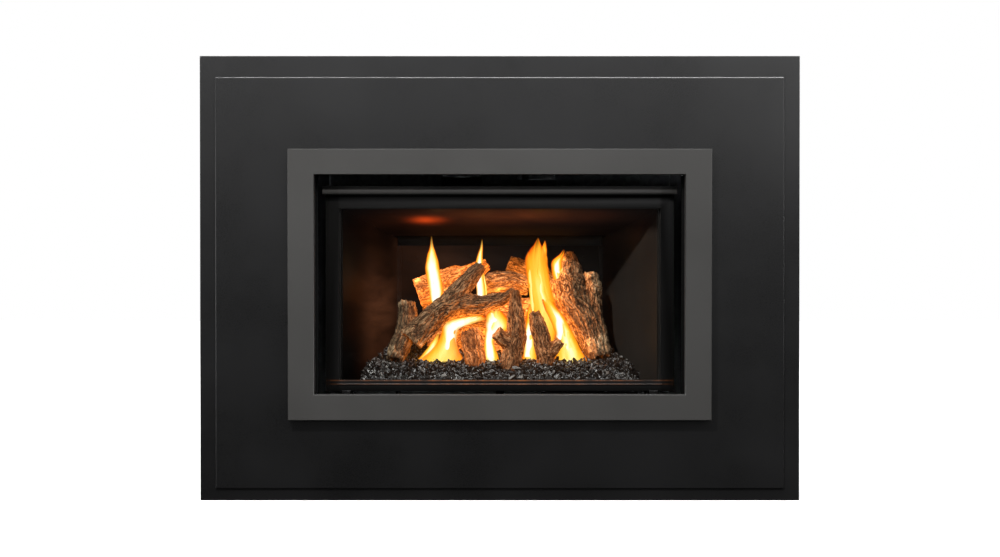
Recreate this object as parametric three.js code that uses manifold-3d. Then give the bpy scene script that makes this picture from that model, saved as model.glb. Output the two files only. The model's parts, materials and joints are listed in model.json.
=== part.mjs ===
// Direct-vent gas fireplace insert with a two-layer steel surround, a picture-frame trim,
// a top-hung ceramic-glass window, a splayed firebox with a ceramic log set, and a convection case.
// Millimetres, +Z up. x is across, y is depth behind the front of the surround, z is height.
// The inner group is shifted so that the origin is the bottom centre of the whole appliance.
import * as THREE from "three";
import { mergeVertices } from "three/addons/utils/BufferGeometryUtils.js";
import Module from "manifold-3d";

const wasm = await Module();
wasm.setup();

// ---------- driving dimensions ----------
const OVERALL_W = 1118;            // outer backing plate, 44 in
const OVERALL_H = 829;             // outer backing plate, 32 5/8 in
const DEPTH_SHIFT = 170;           // y of the overall box centre behind the surround's front
const SHEET = 1.5;                 // sheet steel
const GAP = 0.3;                   // running and assembly gap

const PLATE_RETURN = 16;           // backing plate stands this far off the wall
const PANEL_W = 1060;              // raised panel
const PANEL_Z0 = 22, PANEL_Z1 = 789.5;
const PANEL_FRONT = -6;
const CUT_W = 758, CUT_Z0 = 156, CUT_Z1 = 642;       // cut-out for the case

const TRIM_W = 783, TRIM_Z0 = 152.9, TRIM_Z1 = 653.9; // grey picture frame
const TRIM_OPEN_W = 686, TRIM_OPEN_Z0 = 199.9, TRIM_OPEN_Z1 = 606.9;
const TRIM_FRONT = -32, TRIM_BACK = -6.5, TRIM_FACE = 2;

const CASE_W = 712, CASE_FRONT = 4.5, CASE_REAR = 372;
const CASE_Z0 = 26.5, CASE_TOP = 640;

const WIN_W = 654, WIN_Z0 = 202.5, WIN_Z1 = 572;      // window frame outside
const WIN_OPEN_W = 603.5, WIN_OPEN_Z0 = 223.5, WIN_OPEN_Z1 = 545.3;
const WIN_FRONT = 20, WIN_BACK = 33;
const GLASS_T = 5;

const RING_Y = 34;                 // front face of the firebox flange
const BOX_FRONT_HALF = 301.2, BOX_BACK_HALF = 206.2;
const BOX_BACK_Y = 259;
const BOX_FLOOR = 212.8, BOX_TOP_FRONT = 560.2, BOX_TOP_BACK = 512.2;

const COLLAR_R = 38, COLLAR_WALL = 1.2, COLLAR_TOP = 672;
const EXHAUST = [-75, 200], INTAKE = [75, 300];       // x, y of the two flue collars

const LATCH_X = 288, LATCH_Y = 60, LATCH_Z = 190;     // window latch pivots
const FOOT_X = 300, FOOT_Y = [45, 335];               // levelling feet
const CONTROL_Z = 181;

// ---------- materials ----------
const mat = (color, roughness, metalness, extra = {}) =>
  new THREE.MeshStandardMaterial({ color, roughness, metalness, ...extra });
const M = {
  black: mat(0x1d1d1f, 0.5, 0.35),
  grey: mat(0x55544f, 0.48, 0.4),
  window: mat(0x141414, 0.5, 0.3),
  enamel: mat(0x17130f, 0.25, 0.2),
  galv: mat(0x8c8f90, 0.42, 0.8),
  darksteel: mat(0x2a2a2b, 0.55, 0.5),
  glass: mat(0xdfe4e0, 0.05, 0.0, { transparent: true, opacity: 0.2 }),
  gasket: mat(0x9a958a, 0.95, 0.0),
  log: mat(0x6b5340, 0.9, 0.0),
  ember: mat(0x202022, 0.3, 0.0),
  brass: mat(0xb08d4a, 0.35, 0.9),
  alu: mat(0xa5a7a8, 0.4, 0.85),
  plastic: mat(0x151516, 0.55, 0.0),
  red: mat(0xa3201a, 0.4, 0.0),
};

// ---------- geometry helpers ----------
const V = (x, y, z) => new THREE.Vector3(x, y, z);

const box = (x0, x1, y0, y1, z0, z1) =>
  new THREE.BoxGeometry(x1 - x0, y1 - y0, z1 - z0).translate((x0 + x1) / 2, (y0 + y1) / 2, (z0 + z1) / 2);

// A six-sided block whose corners are given by f(xi, yi, zi), each index 0 or 1.
function hexa(f) {
  const g = new THREE.BoxGeometry(1, 1, 1);
  const p = g.getAttribute("position");
  for (let i = 0; i < p.count; i++) {
    const c = f(p.getX(i) > 0 ? 1 : 0, p.getY(i) > 0 ? 1 : 0, p.getZ(i) > 0 ? 1 : 0);
    p.setXYZ(i, c[0], c[1], c[2]);
  }
  return g;
}

const shapeOf = (pts, holes = []) => {
  const s = new THREE.Shape(pts.map((p) => new THREE.Vector2(p[0], p[1])));
  for (const h of holes) s.holes.push(new THREE.Path(h.map((p) => new THREE.Vector2(p[0], p[1]))));
  return s;
};
const rect = (x0, x1, z0, z1) => [[x0, z0], [x1, z0], [x1, z1], [x0, z1]];
const circle = (cx, cy, r, n = 24, turn = 0) =>
  Array.from({ length: n }, (_, i) => {
    const a = turn + (2 * Math.PI * i) / n;
    return [cx + r * Math.cos(a), cy + r * Math.sin(a)];
  });
const extrude = (pts, holes, depth) =>
  new THREE.ExtrudeGeometry(shapeOf(pts, holes), { depth, bevelEnabled: false, steps: 1 });
// drawn in x, z and running from y0 to y1
const alongY = (pts, holes, y0, y1) =>
  extrude(pts, holes, y1 - y0).rotateX(Math.PI / 2).translate(0, y1, 0);
// drawn in x, y and running from z0 to z1
const alongZ = (pts, holes, z0, z1) => extrude(pts, holes, z1 - z0).translate(0, 0, z0);
// drawn in y, z and running from x0 to x1
const TO_X = new THREE.Matrix4().makeBasis(V(0, 1, 0), V(0, 0, 1), V(1, 0, 0));
const alongX = (pts, holes, x0, x1) => extrude(pts, holes, x1 - x0).applyMatrix4(TO_X).translate(x0, 0, 0);

const cylX = (r, x0, x1, y, z, n = 20) =>
  new THREE.CylinderGeometry(r, r, x1 - x0, n).rotateZ(Math.PI / 2).translate((x0 + x1) / 2, y, z);
const cylY = (r, y0, y1, x, z, n = 20) => new THREE.CylinderGeometry(r, r, y1 - y0, n).translate(x, (y0 + y1) / 2, z);
const cylZ = (r, z0, z1, x, y, n = 20) =>
  new THREE.CylinderGeometry(r, r, z1 - z0, n).rotateX(Math.PI / 2).translate(x, y, (z0 + z1) / 2);

function solid(g) {
  if (!g.isBufferGeometry) return g;
  let h = g.index ? g.toNonIndexed() : g.clone();
  for (const k of Object.keys(h.attributes)) if (k !== "position") h.deleteAttribute(k);
  h = mergeVertices(h, 1e-4);
  return new wasm.Manifold(
    new wasm.Mesh({
      numProp: 3,
      vertProperties: new Float32Array(h.getAttribute("position").array),
      triVerts: new Uint32Array(h.index.array),
    }),
  );
}
const join = (...gs) => gs.map(solid).reduce((a, b) => a.add(b));
const cut = (g, ...tools) => tools.map(solid).reduce((a, b) => a.subtract(b), solid(g));
const common = (a, b) => solid(a).intersect(solid(b));
const biggest = (s) => {
  const parts = s.decompose();
  return parts.reduce((a, b) => (b.volume() > a.volume() ? b : a));
};
function geometryOf(s) {
  const m = s.getMesh();
  const n = m.numProp;
  const v = new Float32Array(m.numVert * 3);
  for (let i = 0; i < m.numVert; i++) v.set(m.vertProperties.subarray(i * n, i * n + 3), i * 3);
  const g = new THREE.BufferGeometry();
  g.setAttribute("position", new THREE.BufferAttribute(v, 3));
  g.setIndex(new THREE.BufferAttribute(new Uint32Array(m.triVerts), 1));
  g.computeVertexNormals();
  return g;
}
// A mesh centred on its own geometry and placed by its position.
function piece(parent, name, shape, material) {
  const g = shape.isBufferGeometry ? shape : geometryOf(shape);
  g.computeBoundingBox();
  const c = g.boundingBox.getCenter(new THREE.Vector3());
  g.translate(-c.x, -c.y, -c.z);
  const mesh = new THREE.Mesh(g, material);
  mesh.name = name;
  mesh.position.copy(c);
  parent.add(mesh);
  return mesh;
}

const root = new THREE.Group();
const appliance = new THREE.Group();
appliance.position.y = -DEPTH_SHIFT;
root.add(appliance);
const group = () => {
  const g = new THREE.Group();
  appliance.add(g);
  return g;
};
const surround = group(), trim = group(), windowSet = group(), firebox = group(), logs = group();
const casing = group(), flue = group(), gas = group(), blower = group(), feet = group();

// ---------- surround: backing plate, raised panel, brackets ----------
{
  const w = OVERALL_W / 2;
  const cutOut = rect(-382, 382, 161, 645);
  piece(surround, "backing_plate", join(
    alongY(rect(-w, w, 0, OVERALL_H), [cutOut], 0, SHEET),
    alongY(rect(-w, w, 0, OVERALL_H), [rect(-w + SHEET, w - SHEET, SHEET, OVERALL_H - SHEET)], SHEET / 2, PLATE_RETURN),
  ), M.black);

  const p = PANEL_W / 2;
  piece(surround, "surround_panel", join(
    alongY(rect(-p, p, PANEL_Z0, PANEL_Z1), [rect(-CUT_W / 2, CUT_W / 2, CUT_Z0, CUT_Z1)], PANEL_FRONT, PANEL_FRONT + SHEET),
    alongY(rect(-p, p, PANEL_Z0, PANEL_Z1),
      [rect(-p + SHEET, p - SHEET, PANEL_Z0 + SHEET, PANEL_Z1 - SHEET)], PANEL_FRONT + SHEET / 2, -GAP),
  ), M.black);

  for (const [side, s] of [["left", -1], ["right", 1]]) {
    const x = (a, b) => (s < 0 ? [-b, -a] : [a, b]);
    const [a0, a1] = x(356.3, 470), [b0, b1] = x(356.3, 357.8);
    piece(surround, "surround_bracket_" + side, join(
      box(a0, a1, 1.8, 3.3, 230, 570),
      box(b0, b1, 2.5, 62, 230, 570),
    ), M.galv);
    // the trim hangs by its top return on two brackets, each with a magnet pad
    const [c0, c1] = x(346.5, 354), [d0, d1] = x(352, 354), [e0, e1] = x(352, 376);
    piece(surround, "trim_bracket_" + side, join(
      box(c0, c1, 2.4, 4.2, 520, 605),
      box(d0, d1, -24, 4.2, 540, 638),
      box(d0, d1, -24, -8, 560, 652),
      box(e0, e1, -29.4, -22, 556, 596),
      box(e0, e1, -24, -12, 650, 652),
    ), M.galv);
  }
}

// ---------- picture-frame trim ----------
{
  const o = TRIM_W / 2, i = TRIM_OPEN_W / 2, t = SHEET;
  piece(trim, "trim_frame", join(
    alongY(rect(-o, o, TRIM_Z0, TRIM_Z1), [rect(-i, i, TRIM_OPEN_Z0, TRIM_OPEN_Z1)], TRIM_FRONT, TRIM_FRONT + TRIM_FACE),
    alongY(rect(-o, o, TRIM_Z0, TRIM_Z1), [rect(-o + t, o - t, TRIM_Z0 + t, TRIM_Z1 - t)], TRIM_FRONT + 1, TRIM_BACK),
    alongY(rect(-i - t, i + t, TRIM_OPEN_Z0 - t, TRIM_OPEN_Z1 + t), [rect(-i, i, TRIM_OPEN_Z0, TRIM_OPEN_Z1)], TRIM_FRONT + 1, -10),
  ), M.grey);
}

// ---------- window: frame, glass, gasket ----------
{
  const o = WIN_W / 2, i = WIN_OPEN_W / 2;
  const hook = (x0, x1) => join(
    box(x0, x1, 21, 40, 569.5, 571.5),
    box(x0, x1, 38.5, 40, 564.5, 571.5),
  );
  piece(windowSet, "window_frame", join(
    alongY(rect(-o, o, WIN_Z0, WIN_Z1), [rect(-i, i, WIN_OPEN_Z0, WIN_OPEN_Z1)], WIN_FRONT, WIN_FRONT + SHEET),
    alongY(rect(-o, o, WIN_Z0, WIN_Z1), [rect(-o + SHEET, o - SHEET, WIN_Z0 + SHEET, WIN_Z1 - SHEET)], WIN_FRONT + 0.7, WIN_BACK),
    alongY(rect(-i - SHEET, i + SHEET, WIN_OPEN_Z0 - SHEET, WIN_OPEN_Z1 + SHEET),
      [rect(-i, i, WIN_OPEN_Z0, WIN_OPEN_Z1)], WIN_FRONT + 0.7, WIN_FRONT + 4.7),
    // hemmed bead along the sill and the head
    alongX([[WIN_FRONT + 0.4, 213.5], [WIN_FRONT - 1.6, 214.3], [WIN_FRONT - 1.6, 216.1], [WIN_FRONT + 0.4, 217]], [], -i - 3, i + 3),
    hook(-210, -150), hook(150, 210),
  ), M.window);
  piece(windowSet, "glass_pane", box(-313, 313, 25, 25 + GLASS_T, 212, 556), M.glass);
  piece(windowSet, "window_gasket",
    alongY(rect(-313, 313, 212, 556), [rect(-303.5, 303.5, 221.5, 546.5)], 30.3, 33.7), M.gasket);
}

// ---------- firebox shell, liners, baffle, hood ----------
const halfAt = (y, f = BOX_FRONT_HALF, b = BOX_BACK_HALF) => f + ((b - f) * (y - 36)) / (BOX_BACK_Y - 36);
const topAt = (y) => BOX_TOP_FRONT + ((BOX_TOP_BACK - BOX_TOP_FRONT) * (y - 36)) / (BOX_BACK_Y - 36);
const baffleAt = (y) => 545 - (y - 40) * 0.2437;      // underside of the ceiling baffle
const frustum = (y0, y1, grow) => hexa((i, j, k) => {
  const y = j ? y1 : y0;
  const h = halfAt(y) + grow;
  return [i ? h : -h, y, k ? topAt(y) + grow : BOX_FLOOR - grow];
});
{
  const slot = hexa((i, j, k) => [i ? 100 : 50, j ? 270 : 250, k ? 250 : 226]);
  const flapHole = (x0, x1) => box(x0, x1, 72, 112, 530, 580);
  const lug = (x0, x1) => cut(box(x0, x1, 34.5, 68, 183, 211.5), cylX(2.8, x0 - 1, x1 + 1, LATCH_Y, LATCH_Z, 12));
  let shell = cut(
    join(
      frustum(35, 261, 1.8),
      alongY(rect(-328, 328, 204, 568), [], RING_Y, RING_Y + 2),
      lug(-LATCH_X - 12, -LATCH_X - 10), lug(-LATCH_X + 10, -LATCH_X + 12),
      lug(LATCH_X - 12, LATCH_X - 10), lug(LATCH_X + 10, LATCH_X + 12),
    ),
    frustum(36, BOX_BACK_Y, 0),
    box(-299, 299, 30, 40, 221, 549),
    frustum(36, 40, 0),
    slot,
    cylZ(34, 480, 600, EXHAUST[0], EXHAUST[1], 24),
    cylZ(10.5, 200, 220, 0, 140, 16),
    flapHole(145, 225), flapHole(-225, -145),
  );
  piece(firebox, "firebox_shell", shell, M.darksteel);

  // liner plates stand a little inside the shell
  const side = (s) => hexa((i, j, k) => {
    const y = j ? 252 : 40;
    const h = halfAt(y) - (s > 0 ? (i ? 0.7 : 2.7) : (i ? 2.7 : 0.7));
    return [s * h, y, k ? baffleAt(y) - 0.6 : BOX_FLOOR + GAP];
  });
  piece(firebox, "liner_left", side(-1), M.enamel);
  piece(firebox, "liner_right", side(1), M.enamel);
  piece(firebox, "liner_back", box(-201, 201, 253, 255, BOX_FLOOR + GAP, 478.5), M.enamel);
  piece(firebox, "ceiling_baffle", hexa((i, j, k) => {
    const y = j ? 232 : 40;
    const h = halfAt(y) - 1.2;
    return [i ? h : -h, y, baffleAt(y) + (k ? 2 : 0)];
  }), M.enamel);

  // rolled front lip that throws the warm air forward
  piece(firebox, "deflector_hood", alongX([
    [5.5, 570], [4.6, 570.4], [4.0, 572.6], [3.6, 575.2], [4.2, 578.4], [5.0, 580.6], [4.4, 583.2], [4.0, 585.8], [5.0, 587],
    [60, 587], [60, 557.6], [58.5, 558], [58.5, 585.5], [6.4, 585.5], [6.8, 580.6], [6.0, 575.2], [6.4, 571.6],
  ], [], -331, 331), M.window);
}

// relief flaps lie on the sloping shell top, hinged at their front edge
const SLOPE = Math.atan2(BOX_TOP_FRONT - BOX_TOP_BACK, BOX_BACK_Y - 36);
for (const [name, x] of [["relief_flap_left", -185], ["relief_flap_right", 185]]) {
  const g = new THREE.Group();
  g.position.set(x, 62, topAt(62) + 1.8 + 0.5);
  g.rotation.x = -SLOPE;
  firebox.add(g);
  piece(g, name, join(
    box(-55, 55, 2, 60, 0, SHEET),
    box(-55, 55, 58.5, 60, 0, 7),
    cylX(2.6, -55, 55, 1.2, 2.4, 10),
  ), M.galv);
}

// ---------- burner, embers, pilot ----------
const burner = join(
  box(-212, 212, 62, 206, 217, 236),
  cylZ(8, 186.5, 220, 0, 140, 16),
  box(-200, -190, 80, 200, BOX_FLOOR + GAP, 218),
  box(190, 200, 80, 200, BOX_FLOOR + GAP, 218),
);
piece(gas, "burner_tray", burner, M.darksteel);

// ---------- ceramic logs ----------
// Each log is a bent, tapered limb; some fork. Stations are [across, up, depth, radius] where across
// and up are in front-view units of FRONT_UNIT mm seen from VIEW_DIST, measured from the middle.
const FRONT_UNIT = 1.864, VIEW_DIST = 3000, MID_X = 499.5, MID_Y = 278.7, MID_Z = 414.5;
const station = ([px, py, y, r]) => {
  const k = FRONT_UNIT * (1 + y / VIEW_DIST);
  return { p: V((px - MID_X) * k, y, MID_Z + (MID_Y - py) * k), r: r * k };
};
function limb(stations, grow = 0, sides = 9) {
  const st = stations.map(station);
  const curve = new THREE.CatmullRomCurve3(st.map((s) => s.p), false, "centripetal");
  const n = Math.max(4, (st.length - 1) * 2);
  const g = new THREE.CylinderGeometry(1, 1, 1, sides, n);
  const p = g.getAttribute("position");
  const frames = [];
  const up = V(0.13, 0.9, 0.2).normalize();
  for (let i = 0; i <= n; i++) {
    const u = i / n;
    const c = curve.getPoint(u), t = curve.getTangent(u);
    const a = up.clone().cross(t).normalize(), b = t.clone().cross(a).normalize();
    const f = u * (st.length - 1), k = Math.min(Math.floor(f), st.length - 2);
    frames.push({ c, a, b, t, r: THREE.MathUtils.lerp(st[k].r, st[k + 1].r, f - k) });
  }
  for (let i = 0; i < p.count; i++) {
    const v = Math.round((0.5 - p.getY(i)) * n);
    const f = frames[n - v];
    const x = p.getX(i), z = p.getZ(i);
    const on = Math.hypot(x, z) > 0.5 ? 1 : 0;
    const ang = Math.atan2(z, x);
    const r = on * (f.r * (1 + 0.07 * Math.sin(3 * ang + v * 1.1)) + grow);
    const end = grow * (v === 0 ? 1 : v === n ? -1 : 0);
    const q = f.c.clone().addScaledVector(f.a, r * Math.cos(ang)).addScaledVector(f.b, r * Math.sin(ang)).addScaledVector(f.t, end);
    p.setXYZ(i, q.x, q.y, q.z);
  }
  const s = solid(g);
  return s.volume() < 0 ? solid(flip(g)) : s;
}
function flip(g) {
  const h = g.index ? g.toNonIndexed() : g.clone();
  const p = h.getAttribute("position");
  for (let i = 0; i < p.count; i += 3) {
    const x = p.getX(i), y = p.getY(i), z = p.getZ(i);
    p.setXYZ(i, p.getX(i + 1), p.getY(i + 1), p.getZ(i + 1));
    p.setXYZ(i + 1, x, y, z);
  }
  return h;
}
const LOGS = {
  log_front_left: [
    [[411, 341, 84, 13], [424, 327, 88, 13.5], [441, 311, 96, 12.5], [457, 303.5, 104, 11], [474, 305, 106, 9.8], [488, 304, 104, 8.6], [500, 300.5, 101, 7], [509, 295.5, 99, 5.6], [514.5, 291, 98, 4.2]],
    [[446, 307, 100, 11], [458, 293, 108, 10.5], [470, 279, 116, 9], [481, 266, 124, 6]],
  ],
  log_centre_front: [
    [[508.5, 372, 70, 10.5], [511.5, 358, 71, 11], [515.5, 338, 73, 10.5], [516, 318, 76, 9], [515, 303, 79, 7], [514.5, 291.5, 81, 4.6]],
    [[513, 348, 71, 8], [504, 340, 66, 7.4], [495.5, 333, 62, 7]],
  ],
  log_small_left: [[[475, 367, 76, 10.5], [474, 352, 79, 11.2], [471.5, 339, 84, 11.4], [469.5, 331, 88, 9.4]]],
  log_centre_right: [
    [[546, 367, 72, 8.4], [544, 350, 75, 9.2], [539, 330, 80, 9.2], [534, 313, 86, 6]],
    [[547, 358, 73, 6.5], [554, 348, 70, 6], [560, 341, 68, 5.4]],
  ],
  log_left_base: [
    [[394, 361, 80, 9], [399, 348, 92, 11], [405, 334, 108, 11], [407, 318, 118, 10], [406, 303, 124, 9]],
  ],
  log_right: [
    [[569, 254, 172, 5], [569.5, 266, 166, 11], [568.5, 284, 157, 18.5], [572, 302, 148, 18], [583, 320, 138, 16], [592, 342, 126, 13.5], [599, 360, 112, 10.5]],
    [[588, 275, 168, 9], [590.5, 290, 162, 12], [589.5, 308, 152, 12.5], [597, 332, 136, 10.5], [604.5, 355, 118, 7]],
  ],
  log_rear_base: [[[428, 348, 196, 17], [470, 345, 194, 20], [520, 345, 194, 20], [575, 348, 190, 17]]],
  log_rear_upper: [[[424, 316, 190, 13], [465, 315, 192, 16], [520, 314, 192, 16], [572, 316, 190, 13]]],
  log_rear_left: [[[417, 294, 168, 15], [436, 288, 170, 16], [458, 281, 176, 14], [474, 273, 182, 10.5], [486, 265, 188, 7]]],
  log_rear_centre: [[[480, 288, 184, 9], [494, 284, 184, 11.5], [510, 283, 184, 11.5], [528, 288, 184, 9]]],
  log_rear_right: [[[508, 264, 214, 8], [522, 270, 212, 9.5], [540, 276, 210, 10], [556, 284, 208, 9]]],
};
const built = [];
for (const [name, limbs] of Object.entries(LOGS)) {
  let s = limbs.map((l) => limb(l)).reduce((a, b) => a.add(b));
  for (const other of built) s = s.subtract(other.fat);
  s = s.subtract(solid(box(-230, 230, 60, 220, 200, 236.6)));
  s = biggest(s);
  built.push({ name, s, fat: limbs.map((l) => limb(l, 0.5)).reduce((a, b) => a.add(b)) });
}
for (const b of built) piece(logs, b.name, b.s, M.log);

// ember bed: low in front, banked up towards the back and the sides
{
  const profile = alongX([[44, 213.2], [44, 226], [56, 246], [90, 251], [135, 259], [185, 280], [222, 286], [222, 213.2]], [], -270, 270);
  const plan = alongZ([[-264, 40], [264, 40], [264, 60], [222, 170], [212, 226], [-212, 226], [-222, 170], [-264, 60]], [], 205, 300);
  const ends = alongY([[-266, 212], [266, 212], [266, 223], [238, 259], [200, 292], [-200, 292], [-238, 259], [-266, 223]], [], 30, 240);
  let bed = common(profile, plan).intersect(solid(ends));
  bed = bed.subtract(solid(box(-212.4, 212.4, 61.6, 206.4, 205, 236.4)));
  bed = bed.subtract(solid(box(-201, 201, 79, 201, 205, 220)));
  for (const b of built) bed = bed.subtract(b.fat);
  piece(logs, "ember_bed", biggest(bed), M.ember);
}
piece(gas, "pilot_burner", join(
  box(-34, 34, 246, 247.5, 218, 330),
  box(-34, 34, 238, 247.5, 328.5, 330),
  cylZ(5, 315, 352, -16, 242.5, 12),
  cylZ(2.5, 315, 360, 4, 242.5, 10),
  cylZ(3.2, 315, 348, 22, 242.5, 10),
), M.alu);

// ---------- window latches: spring arms on trunnions, their ramped noses hold the sill ----------
for (const [name, s] of [["latch_left", -1], ["latch_right", 1]]) {
  const x = s * LATCH_X;
  piece(windowSet, name, join(
    alongX([[65, 185], [65.5, 195], [57, 199.6], [24, 200.2], [20.6, 201.1], [17.0, 204.2], [14.5, 204.2], [12, 201], [10.5, 192], [7, 184], [9.4, 183.2], [13, 189], [16, 194], [40, 191.5], [56, 184.6]], [], x - 8, x + 8),
    cylX(2.5, x - 13.5, x + 13.5, LATCH_Y, LATCH_Z, 12),
  ), M.window);
}

// ---------- convection case ----------
{
  const w = CASE_W / 2;
  const boss = (x, y) => cut(alongZ(circle(x, y, 9, 6), [], 27, 38), cylZ(4.4, 20, 45, x, y, 12));
  const holes = [];
  for (const x of [-FOOT_X, FOOT_X]) for (const y of FOOT_Y) holes.push(circle(x, y, 4.4, 12));
  const post = (x0, x1) => box(x0, x1, 130, 250, 27, 210.6);
  piece(casing, "case_base", cut(join(
    alongZ(rect(-w, w, 5, CASE_REAR - 2), [], CASE_Z0, CASE_Z0 + SHEET),
    boss(-FOOT_X, FOOT_Y[0]), boss(FOOT_X, FOOT_Y[0]), boss(-FOOT_X, FOOT_Y[1]), boss(FOOT_X, FOOT_Y[1]),
    post(-201.5, -200), post(200, 201.5),
    box(-201.5, -180, 130, 250, 209, 210.6), box(180, 201.5, 130, 250, 209, 210.6),
  ), ...holes.map((h) => alongZ(h, [], 20, 45))), M.galv);

  const sideProfile = [[CASE_FRONT, 28.3], [CASE_REAR - 1.9, 28.3], [CASE_REAR - 1.9, 480], [355.6, 639.5], [CASE_FRONT, 639.5]];
  for (const [name, s] of [["case_left_side", -1], ["case_right_side", 1]]) {
    const [x0, x1] = s < 0 ? [-w, -w + SHEET] : [w - SHEET, w];
    const [f0, f1] = s < 0 ? [-w, -339] : [339, w];
    let p = join(alongX(sideProfile, [], x0, x1), box(f0, f1, CASE_FRONT, CASE_FRONT + SHEET, 28.3, 606));
    if (s < 0) p = cut(p, cylX(9, x0 - 1, x1 + 1, 85, 160, 16));
    for (const z of [64, 84, 104, 124]) p = cut(p, box(x0 - 1, x1 + 1, 150, 290, z, z + 8));
    piece(casing, name, p, M.galv);
  }
  piece(casing, "case_rear_panel", alongX([
    [CASE_REAR - 1.5, 28.3], [CASE_REAR, 28.3], [CASE_REAR, 480.4], [357.4, 641.6], [356, 641.1], [CASE_REAR - 1.5, 480],
  ], [], -w, w), M.galv);
  piece(casing, "case_top", join(
    alongZ(rect(-w, w, 5, 355), [circle(EXHAUST[0], EXHAUST[1], 39.5), circle(INTAKE[0], INTAKE[1], 39.5)], CASE_TOP, CASE_TOP + SHEET),
    box(-w + 2, w - 2, 6.5, 8, 610, 640.5),
  ), M.galv);
}

// ---------- flue: two collars, exhaust box, intake duct ----------
{
  const collar = (x, y) => new THREE.LatheGeometry([
    [COLLAR_R - COLLAR_WALL, 612.4], [COLLAR_R, 612.4], [COLLAR_R, 641.9], [54, 641.9], [54, 643.4], [COLLAR_R, 643.4],
    [COLLAR_R, 660], [COLLAR_R + 1.6, 662], [COLLAR_R, 664], [COLLAR_R, COLLAR_TOP], [COLLAR_R - COLLAR_WALL, COLLAR_TOP], [COLLAR_R - COLLAR_WALL, 612.4],
  ].map(([r, z]) => new THREE.Vector2(r, z)), 28).rotateX(Math.PI / 2).translate(x, y, 0);
  const lathed = (x, y) => {
    const g = collar(x, y);
    const s = solid(g);
    return s.volume() < 0 ? solid(flip(g)) : s;
  };
  piece(flue, "exhaust_collar", lathed(...EXHAUST), M.alu);
  piece(flue, "intake_collar", lathed(...INTAKE), M.alu);

  const tube = (x0, x1, y0, y1, z0, z1, hx, hy) => cut(
    join(
      alongZ(rect(x0, x1, y0, y1), [rect(x0 + 1.2, x1 - 1.2, y0 + 1.2, y1 - 1.2)], z0, z1),
      alongZ(rect(x0, x1, y0, y1), [], z1 - 1.2, z1),
    ),
    cylZ(36.6, z1 - 5, z1 + 5, hx, hy, 28),
  );
  piece(flue, "flue_box", biggest(cut(tube(-115, -35, 160, 240, 500, 612, ...EXHAUST), frustum(30, 262, 2.1))), M.darksteel);
  piece(flue, "intake_duct", cut(
    join(tube(35, 115, 262, 338, 222, 612, ...INTAKE), box(35, 115, 262, 338, 222, 223.5)),
    box(50, 100, 255, 266, 228, 250),
  ), M.galv);
}

// ---------- gas train and controls ----------
{
  const hole = (x, r) => circle(x, CONTROL_Z, r, 16);
  piece(gas, "control_bracket", join(
    alongY(rect(78, 262, 120, 198), [hole(110, 4.5), hole(160, 4.5), hole(206, 5.6), rect(231.6, 248.4, 169.6, 192.4)], 56, 57.5),
    box(78, 262, 56, 80, 120, 121.5),
  ), M.darksteel);
  piece(gas, "gas_valve", cut(join(
    box(88, 184, 60, 108, 140, 197),
    cylY(12, 58.2, 62, 110, CONTROL_Z, 16), cylY(12, 58.2, 62, 160, CONTROL_Z, 16),
    cylX(10, 80, 90, 85, 160, 12),
    cylY(9, 106, 112, 135, 165, 12),
  ),
    cylY(4.5, 50, 72, 110, CONTROL_Z, 16), cylY(4.5, 50, 72, 160, CONTROL_Z, 16),
  ), M.alu);
  const knob = (x, ribs) => join(
    alongY(circle(x, CONTROL_Z, 14, ribs), [], 40, 54.5),
    box(x - 2.2, x + 2.2, 35.5, 41, CONTROL_Z - 12.6, CONTROL_Z + 12.6),
    cylY(4.1, 54, 70, x, CONTROL_Z, 16),
  );
  piece(gas, "gas_knob", knob(110, 20), M.plastic);
  piece(gas, "flame_knob", knob(160, 14), M.plastic);
  piece(gas, "igniter_button", join(cylY(9, 42, 49, 206, CONTROL_Z, 18), cylY(5.2, 48, 72, 206, CONTROL_Z, 16)), M.red);
  piece(gas, "power_switch", alongX([[51.5, 170.6], [49.2, 170.4], [52.6, 181], [49.2, 191.6], [51.5, 191.4], [62, 187], [62, 175]], [], 232.2, 247.8), M.plastic);

  piece(gas, "gas_inlet_pipe", join(
    cylX(7, -371, 79.6, 85, 160, 12),
    alongX(circle(85, 160, 12.5, 6), [], -378, -362),
    alongX(circle(85, 160, 12.5, 6), [], 66, 79.6),
  ), M.brass);
  const route = new THREE.CatmullRomCurve3([V(135, 112.4, 165), V(135, 122, 165), V(122, 138, 162), V(90, 141, 158), V(35, 141, 157), V(8, 140.5, 160), V(0, 140, 170), V(0, 140, 186.1)], false, "centripetal");
  piece(gas, "burner_supply_pipe", new THREE.ExtrudeGeometry(shapeOf(circle(0, 0, 4.8, 8)), { steps: 26, bevelEnabled: false, extrudePath: route }), M.brass);
  piece(gas, "receiver_box", join(box(-170, -60, 60, 150, 28.4, 62), box(-150, -80, 57, 62, 34, 56)), M.plastic);
}

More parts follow.
